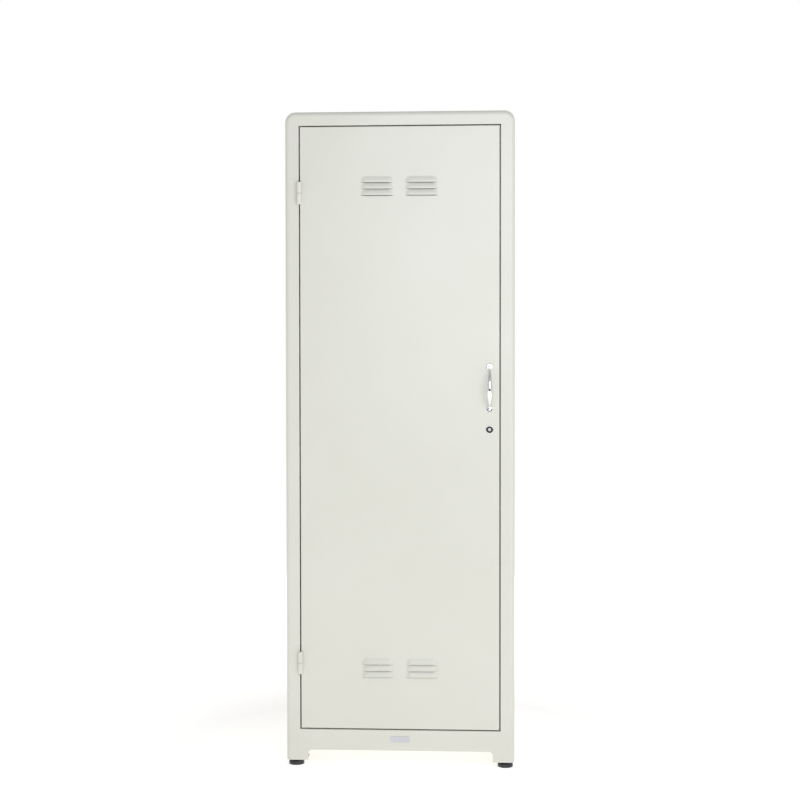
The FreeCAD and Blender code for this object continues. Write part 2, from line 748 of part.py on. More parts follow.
def name_plate_rivets():
    """Two small round-headed rivets through the plate."""
    rivets = []
    for side in (-1, 1):
        x = side * (plate_width / 2 - 3.6)
        shank = rod_along(Y_AXIS, 0.9, 0.6, x, front_y - 0.6, plate_z)
        head = rod_along(Y_AXIS, 1.6, 0.8, x, front_y - 1.4, plate_z)
        head = rounded(head, 0.6, lambda b: b.YMax < front_y - 1.3)
        rivets.append(shank.fuse(head).removeSplitter())
    return Part.Compound(rivets)


# ---- Assembly ----
def all_nodes():
    """Every piece of the cabinet by its node name."""
    skin = outer_sheet()
    side = side_panel(skin)
    nodes = {
        "left_side_panel": mirrored(side),
        "right_side_panel": drilled_for_catch(side, stop_y),
        "top_panel": top_panel(skin),
        "bottom_rail": bottom_rail(skin),
        "rear_rail": rear_rail(skin),
        "back_panel": back_panel(),
        "floor_panel": floor_panel(),
        "hat_shelf": hat_shelf(),
        "shelf_rail_left": mirrored(shelf_rail()),
        "shelf_rail_right": shelf_rail(),
        "hanger_rod": hanger_rod(),
        "rod_socket_left": mirrored(rod_socket()),
        "rod_socket_right": rod_socket(),
        "rod_socket_screws": rod_socket_screws(),
        "catch_housing": catch_housing(),
        "catch_magnet": catch_magnet(),
        "catch_screws": catch_screws(),
        "door_bumpers": door_bumpers(),
        "name_plate": name_plate(),
        "name_plate_rivets": name_plate_rivets(),
        "door_panel": door_panel(),
        "door_stiffener": door_stiffener(),
        "strike_plate": strike_plate(),
        "handle": handle(),
        "handle_screws": handle_screws(),
        "handle_nuts": handle_nuts(),
        "lock_housing": lock_housing(),
        "lock_ring": lock_ring(),
        "lock_nut": lock_nut(),
        "lock_plug": lock_plug(),
        "lock_cam": lock_cam(),
        "lock_cam_screw": lock_cam_screw(),
    }
    for name, bottom in hinge_bottoms.items():
        nodes[name + "_hinge_frame_leaf"] = hinge_frame_leaf(bottom)
        nodes[name + "_hinge_pin"] = hinge_pin(bottom)
        nodes[name + "_hinge_door_leaf"] = hinge_door_leaf(bottom)
    places = foot_places()
    for name, (x, y) in places.items():
        nodes["foot_plate_" + name] = foot_plate(x, y)
        nodes["foot_base_" + name] = foot_base(x, y)
        nodes["foot_stud_" + name] = foot_stud(x, y)
    nodes["foot_nuts"] = Part.Compound([foot_nut(x, y) for x, y in places.values()])
    return nodes


os.makedirs("parts", exist_ok=True)
for node, shape in all_nodes().items():
    if not shape.isValid() or not shape.Solids:
        raise SystemExit("bad shape: " + node)
    shape.exportStep(os.path.join("parts", node + ".step"))
    print(node, len(shape.Solids), "solids", round(shape.Volume / 1000, 2), "cm3")
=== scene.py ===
"""Looks of the cream steel locker: materials, detailed sheet metal, light and camera around its frame.

Everything is in metres in the frame's own axes: +X right, the door faces -Y, +Z up. Places come
from the frame's boxes; the named lengths below are details smaller than those boxes say.
"""
import json
import math

import bmesh
import bpy
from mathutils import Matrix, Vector, noise

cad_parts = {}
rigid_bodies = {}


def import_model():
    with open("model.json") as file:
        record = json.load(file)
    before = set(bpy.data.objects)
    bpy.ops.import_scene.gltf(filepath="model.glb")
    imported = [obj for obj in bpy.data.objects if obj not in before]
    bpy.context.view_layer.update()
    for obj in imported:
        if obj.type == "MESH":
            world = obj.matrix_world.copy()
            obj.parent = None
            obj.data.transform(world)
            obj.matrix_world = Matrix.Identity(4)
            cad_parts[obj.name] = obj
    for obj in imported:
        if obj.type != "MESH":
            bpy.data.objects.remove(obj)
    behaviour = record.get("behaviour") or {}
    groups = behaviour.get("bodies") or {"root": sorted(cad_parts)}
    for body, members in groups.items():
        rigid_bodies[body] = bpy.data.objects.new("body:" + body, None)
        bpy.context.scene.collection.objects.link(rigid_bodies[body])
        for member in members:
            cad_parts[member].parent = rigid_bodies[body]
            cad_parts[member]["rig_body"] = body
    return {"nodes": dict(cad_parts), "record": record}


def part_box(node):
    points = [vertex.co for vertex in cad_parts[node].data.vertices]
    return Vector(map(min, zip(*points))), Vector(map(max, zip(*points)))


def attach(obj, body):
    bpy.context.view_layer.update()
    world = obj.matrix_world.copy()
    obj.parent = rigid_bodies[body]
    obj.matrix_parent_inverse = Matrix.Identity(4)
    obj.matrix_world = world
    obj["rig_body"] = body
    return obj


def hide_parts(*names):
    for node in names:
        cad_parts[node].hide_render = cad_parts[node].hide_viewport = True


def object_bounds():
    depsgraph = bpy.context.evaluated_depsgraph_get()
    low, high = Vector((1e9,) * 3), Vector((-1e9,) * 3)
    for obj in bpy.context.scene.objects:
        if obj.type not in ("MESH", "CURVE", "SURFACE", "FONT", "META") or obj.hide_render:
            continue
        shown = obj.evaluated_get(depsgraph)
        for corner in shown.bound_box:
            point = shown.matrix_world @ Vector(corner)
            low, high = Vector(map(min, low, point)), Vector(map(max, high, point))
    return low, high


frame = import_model()
cad_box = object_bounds()
scene = bpy.context.scene

# ---- Details of the sheet metal ----
sheet = 0.0012                  # thickness of the pressed steel
corner_radius = 0.025           # top corners seen from the front
front_radius = 0.012            # soft bend round the front face
rear_radius = 0.0025
fold = 0.0015                   # sharp folds
stop_width = 0.012
rear_flange = 0.015
leg_width = 0.052
arch_top = 0.0395
arch_radius = 0.010
arch_return = 0.012
door_depth = 0.020
door_flange = 0.036
louvre_half = 0.040
louvre_height = 0.015
louvre_rise = 0.005
louvre_pitch = 0.0155
louvre_offset = 0.0535          # from the door's middle to the middle of each louvre
louvre_slot = 0.001             # strip cut out under each lip
louvre_rows = 3
louvre_slot_half = 0.037
lowest_lips = (0.2183, 1.379)
jamb_inset = 0.030              # points further in than this belong to the jamb and the door stop
weld_margin = 0.020             # broad sheets stay flat this near their edges
sway_reach = 0.080              # and wander fully this much further in
sheet_bevel = 0.0003
fine_bevel = 0.0002
hair = 1e-5                     # slack when stations are compared

# ---- Places taken from the frame ----
front_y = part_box("bottom_rail")[0].y
back_y = cad_box[1].y
side_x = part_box("right_side_panel")[1].x
top_z = cad_box[1].z
leg_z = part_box("bottom_rail")[0].z
opening_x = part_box("bottom_rail")[1].x
opening_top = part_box("right_side_panel")[1].z
opening_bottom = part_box("floor_panel")[1].z + sheet
stop_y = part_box("door_bumpers")[1].y
opening_inset = side_x - opening_x


# ---- Growing meshes ----
class Skin:
    """A mesh grown from rows of points. Points that coincide are shared."""

    def __init__(self):
        self.points = []
        self.lookup = {}
        self.faces = []

    def vertex(self, point):
        key = tuple(round(c * 2e5) for c in point)
        if key not in self.lookup:
            self.lookup[key] = len(self.points)
            self.points.append(tuple(point))
        return self.lookup[key]

    def face(self, *points):
        corners = []
        for point in points:
            corner = self.vertex(point)
            if corner not in corners:
                corners.append(corner)
        if len(corners) > 2:
            self.faces.append(corners)

    def rows(self, rows):
        """Quads between neighbouring rows of points."""
        for row, following in zip(rows, rows[1:]):
            for i in range(len(row) - 1):
                self.face(row[i], row[i + 1], following[i + 1], following[i])

    def lathe(self, place, profile, steps=40):
        """Turn (radius, along) points about an axis; place turns (u, v, along) into a point."""
        rows = []
        for i in range(steps + 1):
            angle = 2 * math.pi * (i % steps) / steps
            rows.append([place(r * math.cos(angle), r * math.sin(angle), w) for r, w in profile])
        self.rows(rows)

    def prism(self, place, outline, low, high):
        """Extrude a closed (u, v) outline between two heights."""
        bottom = [place(u, v, low) for u, v in outline]
        top = [place(u, v, high) for u, v in outline]
        self.rows([bottom + bottom[:1], top + top[:1]])
        self.face(*reversed(bottom))
        self.face(*top)

    def bar(self, place, u0, u1, v0, v1, low, high):
        """Box between two corners."""
        self.prism(place, [(u0, v0), (u1, v0), (u1, v1), (u0, v1)], low, high)


def arc(centre_u, centre_v, radius, start, end, steps):
    """Points of an arc between two angles in degrees."""
    points = []
    for i in range(steps + 1):
        angle = math.radians(start + (end - start) * i / steps)
        points.append((centre_u + radius * math.cos(angle), centre_v + radius * math.sin(angle)))
    return points


def rounded_outline(half_u, half_v, corner, steps):
    """Outline of a rounded rectangle round the origin."""
    outline = []
    for su, sv, start in ((1, 1, 0), (-1, 1, 90), (-1, -1, 180), (1, -1, 270)):
        u, v = su * (half_u - corner), sv * (half_v - corner)
        outline += arc(u, v, corner, start, start + 90, steps)
    return outline


def centre_of(low, high):
    return tuple((a + b) / 2 for a, b in zip(low, high))


def eased(distance, reach):
    """0 at an edge, 1 once the distance from it is past reach."""
    return min(1.0, max(0.0, distance / reach))


def spaced(start, end, spacing):
    """Even steps from start to end, both included, about one spacing apart."""
    count = max(1, round(abs(end - start) / spacing))
    return [start + (end - start) * i / count for i in range(count + 1)]


def merged(*lists):
    """One sorted list of stations without repeats."""
    values = sorted(v for stations in lists for v in stations)
    kept = values[:1]
    for value in values[1:]:
        if value - kept[-1] > hair:
            kept.append(value)
    return kept


def facing(axis, x, y, z):
    """Turns (u, v, along) into a point: along runs from x, y, z in the named direction."""
    directions = {
        "front": lambda u, v, w: (x + u, y - w, z + v),
        "back": lambda u, v, w: (x - u, y + w, z + v),
        "up": lambda u, v, w: (x + u, y + v, z + w),
        "down": lambda u, v, w: (x + u, y - v, z - w),
        "right": lambda u, v, w: (x + w, y + u, z + v),
        "left": lambda u, v, w: (x - w, y - u, z + v),
    }
    return directions[axis]


def sway(point, amount):
    """How far a broad sheet wanders from flat at a point."""
    spot = Vector(point) * 2.7
    return amount * (noise.noise(spot) + 0.4 * noise.noise(spot * 2.3 + Vector((7.1, 3.3, 1.9))))


def grown_object(name, skin, facing_out=None):
    """A new object from a grown mesh, with its normals made to agree."""
    mesh = bpy.data.meshes.new(name)
    mesh.from_pydata(skin.points, [], skin.faces)
    shape = bmesh.new()
    shape.from_mesh(mesh)
    bmesh.ops.recalc_face_normals(shape, faces=shape.faces)
    if facing_out:
        spot, direction = Vector(facing_out[0]), Vector(facing_out[1])
        nearest = min(shape.faces, key=lambda f: (f.calc_center_median() - spot).length)
        if nearest.normal.dot(direction) < 0:
            bmesh.ops.reverse_faces(shape, faces=shape.faces)
    shape.to_mesh(mesh)
    shape.free()
    obj = bpy.data.objects.new(name, mesh)
    scene.collection.objects.link(obj)
    return obj


def settled(obj):
    """The object's mesh with its modifiers worked in."""
    bpy.context.view_layer.update()
    return bpy.data.meshes.new_from_object(
        obj.evaluated_get(bpy.context.evaluated_depsgraph_get()))


# ---- Materials ----
class Finish:
    """A node material built up line by line on one Principled shader."""

    def __init__(self, name, **settings):
        self.material = bpy.data.materials.new(name)
        self.material.use_nodes = True
        self.tree = self.material.node_tree
        self.shader = self.tree.nodes["Principled BSDF"]
        for socket, value in settings.items():
            self.shader.inputs[socket.replace("_", " ")].default_value = value
        self.position = self.add("ShaderNodeTexCoord").outputs["Object"]

    def add(self, kind, **sockets):
        node = self.tree.nodes.new(kind)
        for socket, value in sockets.items():
            target = node.inputs[socket.replace("_", " ")]
            if isinstance(value, bpy.types.NodeSocket):
                self.tree.links.new(value, target)
            else:
                target.default_value = value
        return node

    def stretched(self, x, y, z):
        """The position with each axis scaled on its own."""
        mapping = self.add("ShaderNodeMapping", Vector=self.position, Scale=(x, y, z))
        return mapping.outputs["Vector"]

    def grain(self, scale, detail=2.0, roughness=0.5, vector=None):
        node = self.add("ShaderNodeTexNoise", Vector=vector or self.position, Scale=scale,
                        Detail=detail, Roughness=roughness)
        return node.outputs["Fac"]

    def ramp(self, value, *stops):
        """Colours or greys by value: (position, grey or colour) pairs."""
        node = self.add("ShaderNodeValToRGB", Fac=value)
        ramp = node.color_ramp
        for index, (position, colour) in enumerate(stops):
            stop = ramp.elements[index] if index < 2 else ramp.elements.new(position)
            stop.position = position
            stop.color = (*colour, 1) if isinstance(colour, tuple) else (colour, colour, colour, 1)
        return node.outputs["Color"]

    def blend(self, factor, first, second, mode="MIX"):
        node = self.tree.nodes.new("ShaderNodeMix")
        node.data_type = "RGBA"
        node.blend_type = mode
        for socket, value in ((node.inputs[0], factor), (node.inputs[6], first), (node.inputs[7], second)):
            if isinstance(value, bpy.types.NodeSocket):
                self.tree.links.new(value, socket)
            else:
                socket.default_value = value
        return node.outputs[2]

    def colour(self, value):
        self.tree.links.new(value, self.shader.inputs["Base Color"])

    def roughness(self, value):
        self.tree.links.new(value, self.shader.inputs["Roughness"])

    def relief(self, *layers):
        """Bumps stacked from (height, depth in metres) pairs."""
        normal = None
        for height, depth in layers:
            bump = self.add("ShaderNodeBump", Height=height, Distance=depth, Strength=1.0)
            if normal:
                self.tree.links.new(normal, bump.inputs["Normal"])
            normal = bump.outputs["Normal"]
        self.tree.links.new(normal, self.shader.inputs["Normal"])


def cream_paint(name):
    """Stove enamel: faint orange peel, barely uneven colour, a slightly wandering sheet under it."""
    paint = Finish(name, Specular_IOR_Level=0.5, Coat_Weight=0.25, Coat_Roughness=0.12)
    cloudy = paint.grain(4.0, 3.0)
    tint = paint.ramp(cloudy, (0.3, (0.701, 0.696, 0.621)), (0.7, (0.722, 0.717, 0.646)))
    specks = paint.ramp(paint.grain(900.0, 1.0), (0.30, 0.972), (0.42, 1.0))
    paint.colour(paint.blend(1.0, tint, specks, "MULTIPLY"))
    paint.roughness(paint.ramp(paint.grain(30.0, 3.0), (0.3, 0.30), (0.7, 0.40)))
    paint.relief((paint.grain(7.0, 1.0), 0.0006), (paint.grain(420.0, 2.0), 0.00003))
    return paint.material


def chrome_plate():
    """Bright plating with a faint cloud and hairline polishing marks."""
    chrome = Finish("chrome", Metallic=1.0)
    chrome.colour(chrome.ramp(chrome.grain(120.0), (0.3, (0.78, 0.79, 0.80)), (0.7, (0.88, 0.885, 0.89))))
    lines = chrome.grain(1.0, 3.0, vector=chrome.stretched(2500, 2500, 160))
    chrome.roughness(chrome.ramp(lines, (0.3, 0.05), (0.75, 0.13)))
    chrome.relief((lines, 0.000002))
    return chrome.material


def zinc_plate(name, tone):
    """Dull silver plating with a fine spangle and drawn lines."""
    zinc = Finish(name, Metallic=1.0)
    cells = zinc.add("ShaderNodeTexVoronoi", Vector=zinc.position, Scale=260.0).outputs["Distance"]
    light = tuple(tone * c for c in (1.0, 1.01, 1.03))
    dark = tuple(0.8 * tone * c for c in (1.0, 0.99, 0.95))
    zinc.colour(zinc.ramp(cells, (0.1, dark), (0.6, light)))
    zinc.roughness(zinc.ramp(zinc.grain(90.0, 4.0), (0.3, 0.22), (0.7, 0.42)))
    zinc.relief((zinc.grain(800.0, 3.0), 0.000012))
    return zinc.material


def moulded(name, dark, light, rough, texture):
    """Moulded plastic or rubber with a spark-eroded grain and a little dust in it."""
    plastic = Finish(name, Specular_IOR_Level=0.5)
    plastic.colour(plastic.ramp(plastic.grain(160.0, 5.0, 0.7), (0.35, dark), (0.75, light)))
    plastic.roughness(plastic.ramp(plastic.grain(60.0, 3.0), (0.3, rough), (0.7, rough + 0.14)))
    plastic.relief((plastic.grain(1400.0, 3.0), texture))
    return plastic.material


def brushed_plate():
    """Aluminium brushed along its length."""
    plate = Finish("plate_aluminium", Metallic=1.0)
    lines = plate.grain(1.0, 4.0, 0.7, plate.stretched(60, 60, 5200))
    plate.colour(plate.ramp(lines, (0.3, (0.50, 0.50, 0.53)), (0.7, (0.80, 0.80, 0.83))))
    plate.roughness(plate.ramp(lines, (0.3, 0.28), (0.7, 0.46)))
    plate.relief((lines, 0.000015))
    return plate.material


finishes = {
    "cabinet_paint": cream_paint("cabinet_paint"),
    "door_paint": cream_paint("door_paint"),
    "chrome": chrome_plate(),
    "zinc_steel": zinc_plate("zinc_steel", 0.66),
    "plug_steel": zinc_plate("plug_steel", 0.84),
    "black_plastic": moulded("black_plastic", (0.008, 0.008, 0.009), (0.022, 0.022, 0.024), 0.28, 0.000008),
    "white_plastic": moulded("white_plastic", (0.72, 0.71, 0.68), (0.82, 0.81, 0.78), 0.36, 0.00001),
    "foot_plastic": moulded("foot_plastic", (0.018, 0.019, 0.024), (0.045, 0.047, 0.056), 0.30, 0.00002),
    "rubber": moulded("rubber", (0.03, 0.03, 0.03), (0.06, 0.06, 0.058), 0.62, 0.00003),
    "plate_aluminium": brushed_plate(),
}
slot_of = {part["node"]: part["material_slot"] for part in frame["record"]["subparts"]}


def dress(obj, body, slot, replaced, material, thickness=0, bevel=0, smooth=32):
    """Give a new object its thickness, edges, shading, material and place in the frame."""
    mesh = obj.data
    mesh.materials.clear()
    mesh.materials.append(material)
    if thickness:
        solid = obj.modifiers.new("thickness", "SOLIDIFY")
        solid.thickness = thickness
        solid.offset = -1
        solid.use_even_offset = True
        solid.use_quality_normals = True
    if bevel:
        edges = obj.modifiers.new("edges", "BEVEL")
        edges.width = bevel
        edges.segments = 2
        edges.limit_method = "ANGLE"
        edges.angle_limit = math.radians(smooth)
        edges.harden_normals = True
    mesh.shade_smooth()
    mesh.set_sharp_from_angle(angle=math.radians(smooth))
    weighted = obj.modifiers.new("normals", "WEIGHTED_NORMAL")
    weighted.keep_sharp = True
    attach(obj, body)
    if replaced:
        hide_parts(*replaced)
    return obj


def make(name, skin, node, facing_out=None, **looks):
    """A piece grown in place of a frame node."""
    body, slot = frame["nodes"][node]["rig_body"], slot_of[node]
    dress(grown_object(name, skin, facing_out), body, slot, [node], finishes[slot], **looks)


# ---- Cabinet shell ----
def frame_section():
    """(distance in from the outside, y) along the folded frame, in three stretches."""
    inner = [(opening_inset + stop_width, stop_y), (opening_inset, stop_y)]
    inner += arc(opening_inset - fold, front_y + fold, fold, 0, -90, 4)
    bend = arc(front_radius, front_y + front_radius, front_radius, -90, -180, 10)
    rear = arc(rear_radius, back_y - rear_radius, rear_radius, 180, 90, 4) + [(rear_flange, back_y)]
    return inner, bend, rear


def arched_sheet(skin, place, across, up, arch_low, arch_high):
    """Flat sheet with an arch cut up into its lower edge. Returns the arch's edge."""
    shoulder = arch_top - arch_radius
    left = arc(arch_low + arch_radius, shoulder, arch_radius, 180, 90, 6)
    right = arc(arch_high - arch_radius, shoulder, arch_radius, 90, 0, 6)
    for u0, u1 in zip(across, across[1:]):
        for z0, z1 in zip(up, up[1:]):
            in_arch = u0 > arch_low - hair and u1 < arch_high + hair and z1 < arch_top + hair
            if not in_arch:
                skin.face(place(u0, z0), place(u1, z0), place(u1, z1), place(u0, z1))
    for corner, edge in ((arch_low, left), (arch_high, right)):
        for a, b in zip(edge, edge[1:]):
            skin.face(place(corner, arch_top), place(*a), place(*b))
    near, far = arch_low + arch_radius + hair, arch_high - arch_radius - hair
    crown = [(u, arch_top) for u in across if near < u < far]
    return [(arch_low, leg_z)] + left + crown + right + [(arch_high, leg_z)]


def arch_stations(low, high):
    """Where the sheet must be divided for its arch."""
    return [low, low + arch_radius, high - arch_radius, high]


def side_wall(sign):
    """Side wall with its stile, jamb, door stop, rear flange and the arch between its feet."""
    inner, bend, rear = frame_section()
    heights = merged([leg_z, arch_top - arch_radius, arch_top],
                     spaced(opening_bottom - fold, opening_top, 0.045))
    skin = Skin()
    low, high = front_y + leg_width, back_y - leg_width

    def wall_point(inset, y, z):
        mitre_low = opening_bottom + (inset - opening_inset)
        mitre_high = top_z - inset
        lowest = mitre_low if inset > jamb_inset else leg_z
        return (sign * (side_x - inset), y, max(min(z, mitre_high), lowest))

    def stile_point(inset, y, z):
        return wall_point(inset, y, z) if inset < jamb_inset else (sign * (side_x - inset), y, z)

    upper = [z for z in heights if z > opening_bottom - fold - hair]
    skin.rows([[wall_point(n, y, z) for n, y in inner] for z in upper])
    for stretch in ([inner[-1]] + bend, rear):
        skin.rows([[stile_point(n, y, z) for n, y in stretch] for z in heights])

    def place(y, z):
        near_edge = min(y - bend[-1][1], rear[0][1] - y, z - leg_z, opening_top - z)
        swell = sway((sign, y, z), 0.0006) * eased(near_edge, sway_reach)
        return (sign * (side_x + min(swell, 0)), y, z)

    across = merged([bend[-1][1], rear[0][1]], arch_stations(low, high),
                    spaced(low + arch_radius, high - arch_radius, 0.035))
    edge = arched_sheet(skin, place, across, heights, low, high)
    skin.rows([[(sign * (side_x - n), y, z) for y, z in edge] for n in (0, arch_return)])
    node = "right_side_panel" if sign > 0 else "left_side_panel"
    make(node + "_skin", skin, node, thickness=sheet, bevel=sheet_bevel,
         facing_out=((sign * side_x, 0, 0.8), (sign, 0, 0)))


def roof():
    """Roof with both rounded corners, the header, its jamb and its stop."""
    inner, bend, rear = frame_section()
    between = spaced(bend[-1][1], rear[0][1], 0.05)[1:-1]
    deep = inner + bend + [(0.0, y) for y in between] + rear
    skin = Skin()

    def wall_station(sign, z):
        return [(sign * (side_x - n), y, min(z, top_z - n)) for n, y in deep]

    def corner_station(sign, degrees):
        points = []
        angle = math.radians(degrees)
        for n, y in deep:
            radius = corner_radius - n
            if radius > 0:
                x = side_x - corner_radius + radius * math.cos(angle)
                points.append((sign * x, y, top_z - corner_radius + radius * math.sin(angle)))
            else:
                points.append((sign * (side_x - n), y, top_z - n))
        return points

    def top_station(x):
        points = []
        for n, y in deep:
            reach = side_x - n
            sag = 0.0
            if n == 0.0:
                near_edge = min(reach - abs(x), y - front_y, back_y - y) - weld_margin
                sag = abs(sway((x, y, 3.0), 0.0008)) * eased(near_edge, sway_reach)
            points.append((max(-reach, min(reach, x)), y, top_z - n - sag))
        return points

    bow = range(0, 91, 9)
    flat = side_x - corner_radius
    stations = [wall_station(-1, opening_top)]
    stations += [corner_station(-1, d) for d in bow]
    stations += [top_station(x) for x in spaced(-flat, flat, 0.04)[1:-1]]
    stations += [corner_station(1, d) for d in reversed(bow)]
    stations += [wall_station(1, opening_top)]
    skin.rows(stations)
    make("roof_skin", skin, "top_panel", thickness=sheet, bevel=sheet_bevel,
         facing_out=((0, 0, top_z), (0, 0, 1)))


def rail_face(skin, half, y, inward, top):
    """Face of a rail with its arch and the arch's folded edge. Returns the stations along it."""
    arch_half = side_x - leg_width
    across = merged([-half, half], arch_stations(-arch_half, arch_half), spaced(-0.2, 0.2, 0.05))
    up = merged([leg_z, arch_top - arch_radius, arch_top, top])
    edge = arched_sheet(skin, lambda x, z: (x, y, z), across, up, -arch_half, arch_half)
    skin.rows([[(x, y + inward * d, z) for x, z in edge] for d in (0, arch_return)])
    return across


def front_rail():
    """Rail under the door with its arch, jamb and stop."""
    skin = Skin()
    across = rail_face(skin, opening_x + fold, front_y, 1, opening_bottom - fold)
    rows = []
    for n, y in frame_section()[0]:
        reach = side_x - n
        z = opening_bottom + n - opening_inset
        rows.append([(max(-reach, min(reach, x)), y, z) for x in across])
    skin.rows(rows)
    make("front_rail_skin", skin, "bottom_rail", thickness=sheet, bevel=sheet_bevel,
         facing_out=((0, front_y, 0.06), (0, -1, 0)))


def back_rail():
    """Rail between the rear legs with its arch."""
    skin = Skin()
    rail_face(skin, side_x - rear_flange, back_y, -1, opening_bottom)
    make("rear_rail_skin", skin, "rear_rail", thickness=sheet, bevel=sheet_bevel,
         facing_out=((0, back_y, 0.06), (0, 1, 0)))


def back_sheet():
    """Broad back panel, a little uneven between its welded edges."""
    low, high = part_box("back_panel")
    skin = Skin()
    rows = []
    for z in spaced(low.z, high.z, 0.05):
        rise = z - (high.z - corner_radius)
        cut = corner_radius - math.sqrt(corner_radius ** 2 - max(0.0, rise) ** 2)
        row = []
        for x in spaced(low.x, high.x, 0.045):
            near_edge = min(high.x - abs(x), z - low.z, high.z - z) - weld_margin
            swell = sway((x, 5.0, z), 0.0012) * eased(near_edge, 0.1)
            reach = high.x - cut
            row.append((max(-reach, min(reach, x)), high.y - abs(swell), z))
        rows.append(row)
    skin.rows(rows)
    make("back_sheet", skin, "back_panel", thickness=sheet, bevel=fine_bevel,
         facing_out=((0, high.y, 0.8), (0, 1, 0)))


# ---- Trays folded from a sheet ----
def folded_tray(skin, place, us, vs, half_u, half_v, profile, cells):
    """Face with its four edges folded. The profile has (inset, depth) points, starting at the face.

    cells gives the depths of a cell's corners, or None where there is a slot.
    """
    first = profile[0][0]
    for u0, u1 in zip(us, us[1:]):
        for v0, v1 in zip(vs, vs[1:]):
            corners = cells(u0, u1, v0, v1)
            if corners:
                spots = ((u0, v0), (u1, v0), (u1, v1), (u0, v1))
                skin.face(*[place(u, v, d) for (u, v), d in zip(spots, corners)])
    rim = [(u, vs[0]) for u in us] + [(us[-1], v) for v in vs[1:]]
    rim += [(u, vs[-1]) for u in reversed(us[:-1])] + [(us[0], v) for v in reversed(vs[:-1])]
    rings = []
    for inset, depth in profile:
        ring = []
        for u, v in rim:
            reach_u, reach_v = half_u - inset, half_v - inset
            at_u = abs(u) > half_u - first - 1e-6
            at_v = abs(v) > half_v - first - 1e-6
            u = math.copysign(reach_u, u) if at_u else max(-reach_u, min(reach_u, u))
            v = math.copysign(reach_v, v) if at_v else max(-reach_v, min(reach_v, v))
            ring.append(place(u, v, depth))
        rings.append(ring)
    skin.rows(rings)


def louvre_bulge(u, v):
    """How far the hood stands out at u along it and v above its lip."""
    end = max(0.0, abs(u) - (louvre_half - louvre_height))
    reach = math.hypot(v, end) / louvre_height
    return louvre_rise * max(0.0, 1 - reach ** 2) ** 1.3


def door_skin():
    """Outer skin of the door with its pressed louvres, folded back and in again."""
    low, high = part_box("door_panel")
    half_u, half_v = high.x, (high.z - low.z) / 2
    middle = (high.z + low.z) / 2
    lips = [first + row * louvre_pitch - middle
            for first in lowest_lips for row in range(louvre_rows)]
    straight = louvre_half - louvre_height
    ends = [straight + louvre_height * t for t in (0, .2, .4, .55, .7, .8, .88, .95, 1)]
    along = merged(ends, [-u for u in ends], [0.0, -straight / 2, straight / 2])
    us = [side * louvre_offset + u for side in (-1, 1) for u in along]
    edge = half_u - fold
    beside, grid = 0.11, 0.03
    us = merged(us, spaced(-edge, -beside, grid), spaced(beside, edge, grid), [0.0])
    steps = [louvre_height * t for t in (0, .1, .22, .36, .5, .64, .76, .87, .95, 1)]
    vs = merged([lip + s for lip in lips for s in steps], [lip - louvre_slot for lip in lips])
    top = half_v - fold
    gaps = ((-top, vs[0] - 0.01), (lips[2] + grid, lips[3] - grid), (vs[-1] + 0.01, top))
    vs = merged(vs, *[spaced(a, b, grid) for a, b in gaps])
    slack = 1e-6

    def depths(u0, u1, v0, v1):
        for lip in lips:
            for side in (-1, 1):
                centre = side * louvre_offset
                a, b = u0 - centre, u1 - centre
                widest = max(abs(a), abs(b))
                if widest > louvre_half + slack:
                    continue
                if lip - louvre_slot - slack < v0 and v1 < lip + slack:
                    return None if widest < louvre_slot_half + slack else [0.0] * 4
                if lip - slack < v0 and v1 < lip + louvre_height + slack:
                    spots = ((a, v0), (b, v0), (b, v1), (a, v1))
                    return [-louvre_bulge(u, v - lip) for u, v in spots]
        return [0.0] * 4

    def place(u, v, depth):
        near_edge = min(half_u - abs(u), half_v - abs(v)) - 0.012
        on_face = depth < 0.001
        swell = sway((u, 9.0, v), 0.0007) * eased(near_edge, 0.09) if on_face else 0.0
        return (u, front_y + depth + abs(swell), middle + v)

    profile = arc(fold, fold, fold, -90, -180, 4)
    profile += arc(fold, door_depth - fold, fold, 180, 90, 3) + [(door_flange, door_depth)]
    skin = Skin()
    folded_tray(skin, place, us, vs, half_u, half_v, profile, depths)
    make("door_skin", skin, "door_panel", thickness=sheet, bevel=0.00025, smooth=40,
         facing_out=((0, front_y, 0.8), (0, -1, 0)))


for sign in (-1, 1):
    side_wall(sign)
roof()
front_rail()
back_rail()
back_sheet()
door_skin()

# ---- Feet ----
foot_names = ("front_left", "front_right", "rear_left", "rear_right")


def turned(place, angle):
    """The same place with u and v turned about w."""
    c, s = math.cos(angle), math.sin(angle)
    return lambda u, v, w: place(c * u - s * v, s * u + c * v, w)


def foot_base(place_name):
    """Round moulded base: lipped rim, dished top and ribs round the hub."""
    node = "foot_base_" + place_name
    low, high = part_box(node)
    radius = (high.x - low.x) / 2
    height = high.z - low.z
    x, y, _ = centre_of(low, high)
    place = facing("up", x, y, low.z)
    clear = 0.0006                  # the middle stands this far off the ground
    tread, lip, crest, hub = 0.0018, 0.0004, 0.0016, 0.0086
    profile = [(0.0, clear), (radius - 0.005, clear), (radius - 0.0045, 0.0), (radius - tread, 0.0)]
    profile += arc(radius - tread, tread, tread, -90, 0, 4)[1:]
    profile += [(radius - lip, 0.0024), (radius - lip, 0.0028), (radius, 0.0032)]
    profile += arc(radius - crest, 0.0072, crest, 0, 80, 5)
    profile += arc(0.0125, 0.0118, 0.0028, -80, -150, 4)
    profile += [(hub, 0.0112), (hub - 0.0002, height - 0.0006), (hub - 0.0008, height),
                (0.0, height)]
    skin = Skin()
    skin.lathe(place, profile, 56)
    ribs, rib_half = 12, 0.0004
    for i in range(ribs):
        spoke = turned(place, 2 * math.pi * i / ribs)
        skin.bar(spoke, 0.0095, 0.0145, -rib_half, rib_half, 0.0078, 0.0099)
    make("foot_moulding_" + place_name, skin, node, bevel=fine_bevel)


